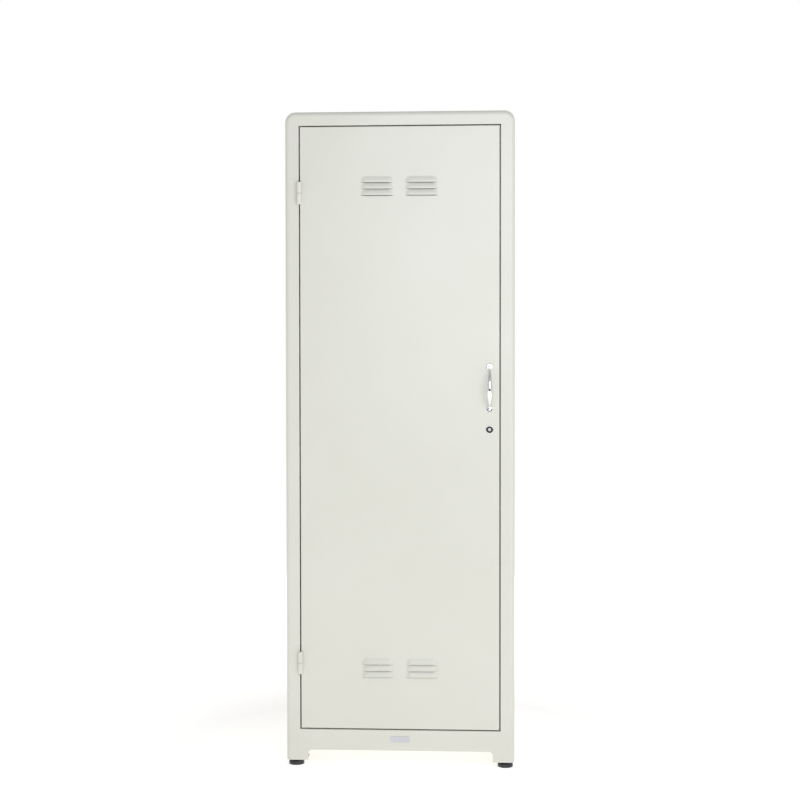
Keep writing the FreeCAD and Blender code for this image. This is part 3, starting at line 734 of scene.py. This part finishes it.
def thread(skin, place, radius, low, high, pitch, steps=20):
    """Helical thread as one ridged tube with closed, tapered ends."""
    depth = 0.32 * pitch
    rows_per_turn, blunt = 5, 0.15
    count = max(2, int((high - low) / pitch * rows_per_turn))
    rows = []
    for j in range(count + 1):
        along = low + (high - low) * j / count
        taper = min(1.0, (along - low) / pitch + blunt, (high - along) / pitch + blunt)
        row = []
        for i in range(steps):
            angle = 2 * math.pi * i / steps
            phase = (along / pitch - angle / (2 * math.pi)) % 1.0
            r = radius - depth * (1 - taper * (1 - abs(2 * phase - 1)))
            row.append(place(r * math.cos(angle), r * math.sin(angle), along))
        rows.append(row + row[:1])
    skin.rows(rows)
    for row, along in ((rows[0], low), (rows[-1], high)):
        middle = place(0.0, 0.0, along)
        for a, b in zip(row, row[1:]):
            skin.face(middle, a, b)


def foot_stud(place_name):
    """M8 stud with a real thread."""
    node = "foot_stud_" + place_name
    low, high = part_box(node)
    x, y, _ = centre_of(low, high)
    start, pitch = 0.0002, 0.00125
    skin = Skin()
    thread(skin, facing("up", x, y, low.z), (high.x - low.x) / 2, start, high.z - low.z, pitch)
    make("foot_thread_" + place_name, skin, node, smooth=75)


def nut(skin, place, across, height, bore):
    """Hexagon nut with a chamfered top and a bore. across is its width over the flats."""
    corners = arc(0.0, 0.0, across / math.sqrt(3), 0, 300, 5)
    outline = []
    for (u0, v0), (u1, v1) in zip(corners, corners[1:] + corners[:1]):
        outline += [(u0 + (u1 - u0) * t, v0 + (v1 - v0) * t) for t in (0, 0.25, 0.5, 0.75)]
    inscribed = across / 2
    lip, slant, top_radius = 0.0001, 0.55, inscribed * 1.01
    skirt, crown = [], []
    for u, v in outline:
        reach = math.hypot(u, v)
        skirt.append(place(u, v, height - lip - slant * max(0.0, reach - inscribed)))
        shrink = min(1.0, top_radius / reach)
        crown.append(place(u * shrink, v * shrink, height))
    rows = [[place(u, v, 0.0) for u, v in outline], skirt, crown]
    angles = [math.atan2(v, u) for u, v in outline]
    for level in (height, 0.0):
        rows.append([place(bore * math.cos(a), bore * math.sin(a), level) for a in angles])
    rows.append(rows[0])
    skin.rows([row + row[:1] for row in rows])


def foot_nuts():
    """Weld nuts on the foot plates."""
    across, bore = 0.013, 0.0041
    skin = Skin()
    low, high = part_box("foot_nuts")
    for name in foot_names:
        x, y, _ = centre_of(*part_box("foot_stud_" + name))
        nut(skin, facing("up", x, y, low.z), across, high.z - low.z, bore)
    make("foot_weld_nuts", skin, "foot_nuts", bevel=0.00015)


# ---- Screws ----
def carved(skin, cutter):
    """The grown mesh with a grown cutter taken out of it, as a new skin."""
    body, tool = grown_object("carving", skin), grown_object("carving", cutter)
    cut = body.modifiers.new("cut", "BOOLEAN")
    cut.operation = "DIFFERENCE"
    cut.solver = "EXACT"
    cut.object = tool
    done = settled(body)
    result = Skin()
    for polygon in done.polygons:
        result.face(*[done.vertices[i].co for i in polygon.vertices])
    for obj in (body, tool):
        bpy.data.objects.remove(obj)
    return result


def cross_screw(skin, place, head_radius, head_height, shank_radius, shank_length):
    """Pan-head screw with a cross recess. place's axis runs out of the head, from under it."""
    pitch, break_edge = 0.0007, 0.0002
    dome = 1.6 * head_radius
    shoulder = head_radius - 0.25 * head_height
    crown = arc(0.0, head_height - dome, dome, 68, 90, 5)
    crown = [(r, w) for r, w in crown if r < shoulder]
    rim = [(0.0, 0.0), (head_radius - break_edge, 0.0), (head_radius, break_edge),
           (head_radius, 0.35 * head_height), (0.96 * head_radius, 0.62 * head_height)]
    head = Skin()
    head.lathe(place, rim + crown[:-1] + [(0.0, head_height)], 36)
    arm, thin = 0.52 * head_radius, 0.13 * head_radius
    plus = [(arm, thin), (thin, thin), (thin, arm)]
    for _ in range(3):
        plus += [(-v, u) for u, v in plus[-3:]]
    cross = Skin()
    floor = [place(0.45 * u, 0.45 * v, 0.3 * head_height) for u, v in plus]
    mouth = [place(1.12 * u, 1.12 * v, 1.3 * head_height) for u, v in plus]
    cross.rows([floor + floor[:1], mouth + mouth[:1]])
    cross.face(*reversed(floor))
    cross.face(*mouth)
    done = carved(head, cross)
    for corners in done.faces:
        skin.face(*[done.points[i] for i in corners])
    thread(skin, lambda u, v, w: place(u, v, -w), shank_radius, 0.0, shank_length, pitch, 16)


def screws_of(name, node, axis, places, *sizes):
    """One piece that holds every screw of a node. sizes are those of cross_screw."""
    skin = Skin()
    for x, y, z in places:
        cross_screw(skin, facing(axis, x, y, z), *sizes)
    make(name, skin, node, smooth=50)


# ---- Handle and lock ----
handle_low, handle_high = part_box("handle")
handle_x = (handle_low.x + handle_high.x) / 2
pad_radius = (handle_high.x - handle_low.x) / 2
pad_height = 0.0034
handle_heights = (handle_low.z + pad_radius, handle_high.z - pad_radius)
plug_low, plug_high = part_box("lock_plug")
lock_x, lock_z = (plug_low.x + plug_high.x) / 2, (plug_low.z + plug_high.z) / 2
lock_body_radius = 0.008


def bow_handle():
    """Cast bow: slim necks swell to a broad oval grip, run smoothly out of two round pads."""
    neck_width, neck_thick = 0.0026, 0.0021         # halves, at the ends
    swell_width, swell_thick = 0.0034, 0.0021       # what the middle adds to them
    end_height, end_inset = 0.0028, 0.0045
    power = 2.1                                     # of the curve the bow follows
    middle = sum(handle_heights) / 2
    span = (handle_heights[1] - handle_heights[0]) / 2 - end_inset
    rise = front_y - handle_low.y - (neck_thick + swell_thick) - end_height
    skin = Skin()
    steps, sides = 56, 28
    rings = []
    for i in range(steps + 1):
        t = 2 * i / steps - 1
        swell = math.cos(math.pi / 2 * t) ** 0.9 if abs(t) < 1 else 0.0
        half_width = neck_width + swell_width * swell
        half_thick = neck_thick + swell_thick * swell
        out = end_height + rise * (1 - abs(t) ** power)
        slope = -rise * power * math.copysign(abs(t) ** (power - 1), t) / span
        lean = math.atan(slope)
        ring = []
        for k in range(sides):
            angle = 2 * math.pi * k / sides
            across, up = half_width * math.cos(angle), half_thick * math.sin(angle)
            ring.append((handle_x + across, front_y - out - up * math.cos(lean),
                         middle + span * t - up * math.sin(lean)))
        rings.append(ring + ring[:1])
    skin.rows(rings)
    skin.face(*rings[0][:-1])
    skin.face(*reversed(rings[-1][:-1]))
    rounding = 0.0012
    for z in handle_heights:
        profile = [(0.0, 0.0), (pad_radius - 0.0002, 0.0)]
        profile += arc(pad_radius - rounding, pad_height - rounding, rounding, 0, 80, 5)
        profile += [(0.0045, pad_height), (0.0, pad_height)]
        skin.lathe(facing("front", handle_x, front_y, z), profile, 48)
    rough = grown_object("bow_handle", skin)
    cast = rough.modifiers.new("cast", "REMESH")
    cast.mode = "VOXEL"
    cast.voxel_size = 0.0005
    soften = rough.modifiers.new("soften", "SMOOTH")
    soften.factor = 0.5
    soften.iterations = 8
    done = settled(rough)
    bpy.data.objects.remove(rough)
    for vertex in done.vertices:
        vertex.co.y = min(vertex.co.y, front_y)
    obj = bpy.data.objects.new("bow_handle", done)
    scene.collection.objects.link(obj)
    dress(obj, "door", slot_of["handle"], ["handle"], finishes["chrome"], smooth=80)


def lock_case():
    """Threaded barrel with its bright bezel, and the black collar in it."""
    place = facing("front", lock_x, front_y, lock_z)
    bore = (plug_high.x - plug_low.x) / 2 + 0.0001
    bezel_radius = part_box("lock_housing")[1].x - lock_x
    collar_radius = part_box("lock_ring")[1].x - lock_x
    collar_top = front_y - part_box("lock_ring")[0].y
    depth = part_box("lock_housing")[1].y - front_y
    body, pitch, groove = lock_body_radius, 0.001, 0.0004
    rounding, floor, seat = 0.0010, 0.0012, 0.0014
    skin = Skin()
    profile = [(bore, -depth), (body, -depth), (body, -depth + 0.0002)]
    for i in range(int((depth - 0.002) / pitch)):
        start = -depth + 0.0006 + i * pitch
        profile += [(body, start), (body - groove, start + pitch / 2)]
    profile += [(body, -0.0012), (body, 0.0), (bezel_radius, 0.0), (bezel_radius, 0.0004)]
    profile += arc(bezel_radius - rounding, 0.0006, rounding, 0, 90, 5)
    profile += [(collar_radius + 0.0002, 0.0016), (collar_radius + 0.0001, floor), (bore, floor),
                (bore, -depth)]
    skin.lathe(place, profile, 56)
    make("lock_barrel", skin, "lock_housing", bevel=0.00008)
    rounding = 0.0007
    skin = Skin()
    profile = [(bore, seat), (collar_radius, seat)]
    profile += arc(collar_radius - rounding, collar_top - rounding, rounding, 0, 90, 4)
    profile += [(bore + 0.0006, collar_top), (bore, collar_top - 0.0005), (bore, seat)]
    skin.lathe(place, profile, 56)
    make("lock_collar", skin, "lock_ring")


def lock_core():
    """Turning plug with its keyway and the square that carries the cam."""
    place = facing("front", lock_x, front_y, lock_z)
    radius = (plug_high.x - plug_low.x) / 2
    face, back = front_y - plug_low.y, front_y - plug_high.y
    lip, dish, square_length = 0.0009, 0.0016, 0.002
    core = Skin()
    profile = [(0.0, back + square_length), (radius, back + square_length), (radius, face - lip)]
    profile += [(radius - lip + u, face - lip + w) for u, w in arc(0.0, 0.0, lip, 10, 170, 8)]
    profile += [(radius - 0.0019, face - dish), (0.0, face - dish)]
    core.lathe(place, profile, 48)
    half, long, ward, notch = 0.0006, 0.0026, 0.0003, 0.0004
    keyway = Skin()
    keyway.prism(place, [(-half, -long), (half, -long), (half, -notch), (ward, 0.0), (half, notch),
                         (half, long), (-half, long)], face - 0.010, face + 0.001)
    skin = carved(core, keyway)
    square = 0.0026
    skin.bar(place, -square, square, -square, square, back, back + square_length + 0.0001)
    make("lock_core_plug", skin, "lock_plug", bevel=0.00006)


def lock_back():
    """Clamp nut, tongue and the tongue's screw."""
    skin = Skin()
    nut_low, nut_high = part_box("lock_nut")
    nut(skin, facing("back", lock_x, nut_low.y, lock_z), 0.022, nut_high.y - nut_low.y,
        lock_body_radius)
    make("lock_clamp_nut", skin, "lock_nut", bevel=fine_bevel)
    cam_low, cam_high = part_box("lock_cam")
    skin = Skin()
    hub = (cam_high.x - cam_low.x) / 2
    waist = hub - 0.001
    corner = 0.003
    tip = cam_low.z - lock_z + corner
    outline = arc(0.0, 0.0, hub, -30, 210, 20) + [(-waist, tip)]
    outline += arc(-waist + corner, tip, corner, 180, 270, 4)
    outline += arc(waist - corner, tip, corner, 270, 360, 4)
    place = facing("front", lock_x, cam_high.y, lock_z)
    skin.prism(place, outline, 0.0, cam_high.y - cam_low.y)
    make("lock_tongue", skin, "lock_cam", bevel=sheet_bevel)
    screws_of("lock_tongue_screw", "lock_cam_screw", "back", [(lock_x, cam_high.y, lock_z)],
              0.0042, 0.002, 0.0015, 0.006)


# ---- Hinges ----
def rolled_leaf(name, node, turn):
    """Knuckle and edge leaf: turn is 1 for the leaf on the door, -1 for the leaf on the jamb."""
    low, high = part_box(node)
    outer, pin, leaf = 0.00575, 0.00305, 0.0013
    centre_x, centre_y = low.x + outer, low.y + outer
    place = facing("up", centre_x, centre_y, low.z)
    height = high.z - low.z
    if turn > 0:
        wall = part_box("door_panel")[0].x - leaf - centre_x
    else:
        wall = high.x - leaf - centre_x
    wide, fine = 0.0012, 0.0004
    skin = Skin()
    skin.lathe(place, [(pin, 0.0), (outer - wide, 0.0), (outer - fine, fine), (outer, wide),
                       (outer, height - wide), (outer - fine, height - fine),
                       (outer - wide, height), (pin, height), (pin, 0.0)], 44)
    margin = 0.0025
    bottom = margin if turn < 0 else 0.0
    top = height if turn < 0 else height - margin + 0.001
    skin.bar(place, wall, wall + leaf, 0.0, high.y - centre_y, bottom, top)
    make(name, skin, node, bevel=sheet_bevel)


def hinges():
    """Two lift-off hinges: rolled leaves and round-topped pins."""
    for level in ("lower", "upper"):
        rolled_leaf(level + "_hinge_jamb_half", level + "_hinge_frame_leaf", -1)
        rolled_leaf(level + "_hinge_door_half", level + "_hinge_door_leaf", 1)
        low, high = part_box(level + "_hinge_pin")
        radius, height, rounding = (high.x - low.x) / 2, high.z - low.z, 0.0014
        profile = [(0.0, 0.0), (radius, 0.0)]
        profile += arc(radius - rounding, height - rounding, rounding, 0, 75, 5) + [(0.0, height)]
        skin = Skin()
        skin.lathe(facing("up", low.x + radius, low.y + radius, low.z), profile, 32)
        make(level + "_hinge_steel_pin", skin, level + "_hinge_pin")


# ---- Name plate ----
def name_plate():
    """Blank plate: raised rolled border round a sunk field with fine ribs, and no lettering."""
    low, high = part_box("name_plate")
    half_u, half_v = (high.x - low.x) / 2, (high.z - low.z) / 2
    middle = (high.z + low.z) / 2
    depth = high.y - low.y
    place = facing("front", 0.0, front_y, middle)
    border = ((0.0, 0.0), (0.0, depth * 0.7), (0.0004, depth), (0.0010, depth),
              (0.0015, depth * 0.6))
    rings = []
    for inset, height in border:
        corner = 0.0014 - min(inset, 0.0010)
        outline = rounded_outline(half_u - inset, half_v - inset, corner, 4)
        rings.append([place(u, v, height) for u, v in outline])
    skin = Skin()
    skin.rows([ring + ring[:1] for ring in rings])
    skin.face(*reversed(rings[-1]))
    skin.face(*rings[0])
    ribs, rib_pitch, rib_half = 7, 0.0013, 0.0002
    rib_end = half_u - 0.0068
    for i in range(ribs):
        v = (i - (ribs - 1) / 2) * rib_pitch
        skin.bar(place, -rib_end, rib_end, v - rib_half, v + rib_half, depth * 0.5, depth * 0.85)
    make("blank_name_plate", skin, "name_plate", bevel=0.00008)
    rivet_low, rivet_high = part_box("name_plate_rivets")
    radius, tall = 0.0016, front_y - rivet_low.y
    head = [(0.0, 0.0)] + [(radius * r, tall * h) for r, h in arc(0.0, 0.0, 1.0, 0, 90, 6)]
    skin = Skin()
    for side in (-1, 1):
        x = side * (rivet_high.x - radius)
        skin.lathe(facing("front", x, front_y, middle), head, 20)
    make("name_plate_pins", skin, "name_plate_rivets", smooth=60)


# ---- Inside fittings ----
def stiffener():
    """Hat channel up the middle of the door, with rounded folds."""
    low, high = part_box("door_stiffener")
    crest, turn = 0.030, 0.0018
    rise = high.y - low.y
    right = [(high.x, sheet), (crest + turn, sheet)]
    right += arc(crest + turn, sheet + turn, turn, -90, -180, 3)[1:]
    right += arc(crest - turn, rise - turn, turn, 0, 90, 3)
    section = right + [(0.0, rise)] + [(-x, y) for x, y in reversed(right)]
    skin = Skin()
    skin.rows([[(x, low.y + y, z) for x, y in section] for z in spaced(low.z, high.z, 0.06)])
    make("hat_channel", skin, "door_stiffener", thickness=sheet, bevel=fine_bevel,
         facing_out=((0, high.y, 0.8), (0, 1, 0)))


def folded_shelf(name, node, clear, corner):
    """Sheet whose front and rear edges fold down between x = -clear and clear."""
    low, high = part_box(node)
    turn = 0.002
    lip = high.z - low.z
    front = [(low.y, -lip)] + arc(low.y + turn, -turn, turn, 180, 90, 4)
    rear = arc(high.y - turn, -turn, turn, 90, 0, 4) + [(high.y, -lip)]
    across = spaced(low.y + turn, high.y - turn, 0.04)[1:-1]
    section = front + [(y, 0.0) for y in across] + rear
    rounding = [high.x - corner * (1 - math.sin(math.radians(d))) for d in range(0, 91, 15)]
    stations = merged(spaced(-clear, clear, 0.05), rounding, [-x for x in rounding])
    rows = []
    for x in stations:
        over = min(corner, max(0.0, abs(x) - (high.x - corner)))
        edge = low.y + corner - math.sqrt(corner ** 2 - over ** 2)
        row = []
        for y, drop in section:
            near_edge = min(high.x - abs(x), y - low.y, high.y - y) - weld_margin
            sag = abs(sway((x, y, 7.0), 0.0006)) * eased(near_edge, sway_reach)
            row.append((x, max(y, edge), high.z + drop - (sag if drop == 0.0 else 0.0)))
        rows.append(row)
    fold_line = high.z - turn - 0.0001
    skin = Skin()
    for row, following in zip(rows, rows[1:]):
        outside = max(abs(row[0][0]), abs(following[0][0])) > clear + hair
        for i in range(len(row) - 1):
            lip_face = min(row[i][2], row[i + 1][2]) < fold_line
            if not (outside and lip_face):
                skin.face(row[i], row[i + 1], following[i + 1], following[i])
    make(name, skin, node, thickness=sheet, bevel=fine_bevel,
         facing_out=((0, 0, high.z), (0, 0, 1)))


def shelf_angle(side):
    """Angle on the side wall under the shelf, folded with a small bend."""
    node = "shelf_rail_" + side
    low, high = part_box(node)
    sign = 1 if side == "right" else -1
    wall, inner = max(abs(low.x), abs(high.x)), min(abs(low.x), abs(high.x))
    turn = 0.002
    section = [(wall, low.z)] + arc(wall - turn, high.z - turn, turn, 0, 90, 3)
    section += [(inner, high.z)]
    skin = Skin()
    skin.rows([[(sign * x, y, z) for x, z in section] for y in spaced(low.y, high.y, 0.05)])
    make("shelf_angle_" + side, skin, node, thickness=sheet, bevel=fine_bevel,
         facing_out=((sign * wall, 0, (low.z + high.z) / 2), (sign, 0, 0)))


def rod_and_sockets():
    """Chromed tube with deburred ends, in two flanged cups."""
    low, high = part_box("hanger_rod")
    radius = (high.z - low.z) / 2
    _, y, z = centre_of(low, high)
    long = high.x - low.x
    wall, deburr = 0.0012, 0.0003
    profile = [(radius - wall, 0.0), (radius - deburr, 0.0), (radius, deburr)]
    profile += [(radius, u) for u in spaced(0.002, long - 0.002, 0.05)]
    profile += [(radius, long - deburr), (radius - deburr, long), (radius - wall, long),
                (radius - wall, 0.0)]
    skin = Skin()
    skin.lathe(facing("right", low.x, y, z), profile, 48)
    make("hanger_tube", skin, "hanger_rod")
    plate, edge, fillet, mouth = 0.0022, 0.0010, 0.0016, 0.0008
    for side in ("left", "right"):
        node = "rod_socket_" + side
        cup_low, cup_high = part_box(node)
        flange = (cup_high.z - cup_low.z) / 2
        depth = cup_high.x - cup_low.x
        start, inwards = (cup_high.x, "left") if side == "right" else (cup_low.x, "right")
        profile = [(radius, plate), (0.0, plate), (0.0, 0.0), (flange, 0.0),
                   (flange, plate - 0.0011)]
        profile += arc(flange - edge, plate - edge, edge, 10, 90, 4)
        profile += arc(radius + 0.0046, plate + fillet, fillet, -90, -180, 4)
        profile += arc(radius + 0.0022, depth - mouth, mouth, 0, 90, 4)
        profile += [(radius, depth - 0.0003), (radius, plate)]
        skin = Skin()
        skin.lathe(facing(inwards, start, y, z), profile, 56)
        make("rod_cup_" + side, skin, node)


def catch():
    """Magnetic catch: moulded case with a mounting flange, magnet between two steel poles."""
    low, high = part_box("catch_housing")
    magnet_low, magnet_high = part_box("catch_magnet")
    middle = (low.z + high.z) / 2
    half = (high.z - low.z) / 2
    opening = (magnet_high.z - magnet_low.z) / 2
    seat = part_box("right_side_panel")[1].x - opening_inset - stop_width
    skin = Skin()
    place = facing("back", 0.0, low.y, middle)

    def slab(x0, x1, y0, y1, z0, z1):
        skin.bar(place, -x1, -x0, z0, z1, y0 - low.y, y1 - low.y)

    base = stop_y + sheet
    body = half - 0.002
    slab(low.x + 0.002, high.x, base, base + 0.0022, -half, half)
    slab(magnet_high.x, seat - 0.0006, low.y, high.y, -body, body)
    slab(low.x, magnet_low.x, low.y, high.y, -body, body)
    slab(magnet_low.x, magnet_high.x, low.y, high.y, opening, body)
    slab(magnet_low.x, magnet_high.x, low.y, high.y, -body, -opening)
    slab(magnet_low.x, magnet_high.x, magnet_high.y, high.y, -opening, opening)
    make("catch_case", skin, "catch_housing", bevel=0.0006)
    wide, deep = magnet_high.x - magnet_low.x, magnet_high.y - magnet_low.y
    pole, sunk = 0.22, 0.0006
    place = facing("back", magnet_high.x, magnet_low.y, middle)
    skin = Skin()
    for start, end, inset in ((0.0, pole, 0.0), (pole, 1 - pole, sunk), (1 - pole, 1.0, 0.0)):
        skin.bar(place, start * wide, end * wide, -opening, opening, inset, deep)
    make("catch_poles", skin, "catch_magnet", bevel=sheet_bevel)


def strike():
    """Steel plate on the door that the magnet holds."""
    low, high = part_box("strike_plate")
    x, _, z = centre_of(low, high)
    outline = rounded_outline((high.x - low.x) / 2, (high.z - low.z) / 2, 0.003, 5)
    skin = Skin()
    skin.prism(facing("front", x, high.y, z), outline, 0.0, high.y - low.y)
    make("strike", skin, "strike_plate", bevel=0.0004)


def bumpers():
    """Domed rubber buttons on the door stop."""
    low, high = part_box("door_bumpers")
    radius = (high.x - low.x) / 2
    height = high.y - low.y
    collar, shoulder = 0.0009, radius - 0.0003
    profile = [(0.0, 0.0), (radius, 0.0), (radius, 0.0006), (shoulder, collar)]
    profile += [(shoulder - 0.0012 * (1 - math.cos(t)), collar + (height - 0.0012) * math.sin(t))
                for t in (0.4, 0.8, 1.2)]
    profile += [(0.0018, height - 0.0001), (0.0, height)]
    skin = Skin()
    for z in (low.z + radius, high.z - radius):
        skin.lathe(facing("front", low.x + radius, high.y, z), profile, 32)
    make("rubber_buttons", skin, "door_bumpers")


def small_fasteners():
    """Nuts behind the handle and screws of the rod's cups and of the catch."""
    low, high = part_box("handle_nuts")
    skin = Skin()
    for z in handle_heights:
        nut(skin, facing("back", handle_x, low.y, z), 0.007, high.y - low.y, 0.0021)
    make("handle_hex_nuts", skin, "handle_nuts", bevel=0.0001)
    low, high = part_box("rod_socket_screws")
    middle_y = (low.y + high.y) / 2
    head, shank_length = 0.0036, 0.0022
    skin = Skin()
    for side, x in (("left", high.x - shank_length), ("right", low.x + shank_length)):
        for z in (low.z + head, high.z - head):
            cross_screw(skin, facing(side, x, middle_y, z), head, 0.002, 0.002, shank_length)
    make("cup_screws", skin, "rod_socket_screws", smooth=50)
    low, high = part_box("catch_screws")
    head, head_height = (high.x - low.x) / 2, 0.0014
    places = [(low.x + head, low.y + head_height, z) for z in (low.z + head, high.z - head)]
    screws_of("catch_cross_screws", "catch_screws", "front", places, head, head_height, 0.0016,
              0.0034)


for foot in foot_names:
    foot_base(foot)
    foot_stud(foot)
foot_nuts()
bow_handle()
lock_case()
lock_core()
lock_back()
hinges()
name_plate()
stiffener()
folded_shelf("shelf_sheet", "hat_shelf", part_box("hat_shelf")[1].x - 0.018, 0.002)
folded_shelf("raised_floor", "floor_panel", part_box("floor_panel")[1].x - front_radius, front_radius)
for side in ("left", "right"):
    shelf_angle(side)
rod_and_sockets()
catch()
strike()
bumpers()
small_fasteners()
screws_of("handle_cross_screws", "handle_screws", "front",
          [(handle_x, front_y - pad_height, z) for z in handle_heights],
          0.0039, 0.0022, 0.002, 0.0095)

# ---- Frame nodes that keep their own shape ----
for name, obj in frame["nodes"].items():
    if not obj.hide_render:
        obj.data.materials.clear()
        obj.data.materials.append(finishes[slot_of[name]])


# ---- Studio ----
def studio_floor():
    """Broad pale floor that glows a little, most under the locker and far from it, like a lit sweep."""
    reach = 3.2
    mesh = bpy.data.meshes.new("floor")
    corners = [(-reach, -reach, 0), (reach, -reach, 0), (reach, reach, 0), (-reach, reach, 0)]
    mesh.from_pydata(corners, [], [(0, 1, 2, 3)])
    floor = bpy.data.objects.new("floor", mesh)
    scene.collection.objects.link(floor)
    pale = Finish("floor", Roughness=0.95, Specular_IOR_Level=0.0,
                  Emission_Color=(1.0, 0.985, 0.96, 1))
    pale.colour(pale.ramp(pale.grain(3.0), (0.3, 0.950), (0.7, 0.955)))
    distance = pale.add("ShaderNodeVectorMath")
    distance.operation = "LENGTH"
    pale.tree.links.new(pale.position, distance.inputs[0])
    part = pale.add("ShaderNodeMapRange", Value=distance.outputs["Value"], From_Max=reach).outputs[0]
    glow = pale.ramp(part, (0.08, 0.52), (0.18, 0.42), (0.30, 0.56), (0.50, 0.85))
    pale.tree.links.new(glow, pale.shader.inputs["Emission Strength"])
    mesh.materials.append(pale.material)


def studio_world():
    """White surroundings, softly uneven, with a dim band low in front for bright metal to reflect."""
    world = bpy.data.worlds.new("studio")
    scene.world = world
    world.use_nodes = True
    tree = world.node_tree
    nodes, links = tree.nodes, tree.links
    background = nodes["Background"]
    direction = nodes.new("ShaderNodeTexCoord").outputs["Generated"]
    parts = nodes.new("ShaderNodeSeparateXYZ")
    links.new(direction, parts.inputs[0])

    def mapped(value, low, high, at_low, at_high, smooth=False):
        node = nodes.new("ShaderNodeMapRange")
        node.interpolation_type = "SMOOTHSTEP" if smooth else "LINEAR"
        for index, setting in enumerate((low, high, at_low, at_high), 1):
            node.inputs[index].default_value = setting
        links.new(value, node.inputs[0])
        return node.outputs[0]

    def product(first, second):
        node = nodes.new("ShaderNodeMath")
        node.operation = "MULTIPLY"
        links.new(first, node.inputs[0])
        links.new(second, node.inputs[1])
        return node.outputs[0]

    def flag(centre_x, centre_z, half_x, half_z, soft):
        """1 inside an upright oval of directions in front of the door, easing to 0 round it."""
        place = nodes.new("ShaderNodeMapping")
        place.vector_type = "TEXTURE"
        place.inputs["Location"].default_value = (centre_x, 0, centre_z)
        place.inputs["Scale"].default_value = (half_x, 1e4, half_z)
        links.new(direction, place.inputs["Vector"])
        reach = nodes.new("ShaderNodeVectorMath")
        reach.operation = "LENGTH"
        links.new(place.outputs[0], reach.inputs[0])
        oval = mapped(reach.outputs["Value"], 1 - soft, 1 + soft, 1.0, 0.0, True)
        return product(oval, mapped(parts.outputs[1], -0.05, 0.05, 1.0, 0.0))

    sideways = mapped(parts.outputs[0], -1, 1, 0.77, 0.75)
    upwards = mapped(parts.outputs[2], -0.1, 1, 0.84, 0.62)
    dim = mapped(flag(0.02, -0.20, 0.36, 0.52, 0.12), 0, 1, 1.0, 0.12)
    strength = product(product(sideways, upwards), dim)
    seen = nodes.new("ShaderNodeLightPath").outputs["Is Camera Ray"]
    mix = nodes.new("ShaderNodeMix")
    mix.inputs[3].default_value = 1.0
    links.new(seen, mix.inputs[0])
    links.new(strength, mix.inputs[2])
    links.new(mix.outputs[0], background.inputs["Strength"])
    background.inputs["Color"].default_value = (1, 1, 1, 1)


def soft_light(name, location, aim, width, height, power, colour):
    """Rectangular softbox."""
    data = bpy.data.lights.new(name, "AREA")
    data.shape = "RECTANGLE"
    data.size, data.size_y = width, height
    data.energy = power
    data.color = colour
    lamp = bpy.data.objects.new(name, data)
    lamp.location = location
    lamp.rotation_euler = (Vector(aim) - Vector(location)).to_track_quat("-Z", "Y").to_euler()
    scene.collection.objects.link(lamp)


def camera():
    """The photograph's viewpoint: a little to the right of the middle, at chest height."""
    data = bpy.data.cameras.new("camera")
    obj = bpy.data.objects.new("camera", data)
    scene.collection.objects.link(obj)
    data.sensor_width = 36.0
    data.lens = 74.146
    obj.location = (0.2477, front_y - 3.95, 1.0059)
    obj.rotation_euler = (math.radians(90 - 1.703), math.radians(0.067), math.radians(3.573))
    scene.camera = obj


studio_floor()
studio_world()
soft_light("key", location=(0.66, front_y - 2.0, 1.55), aim=(0, front_y, 1.05), width=2.0,
           height=1.5, power=21.0, colour=(0.90, 0.94, 1.0))
camera()
scene.view_settings.view_transform = "Standard"
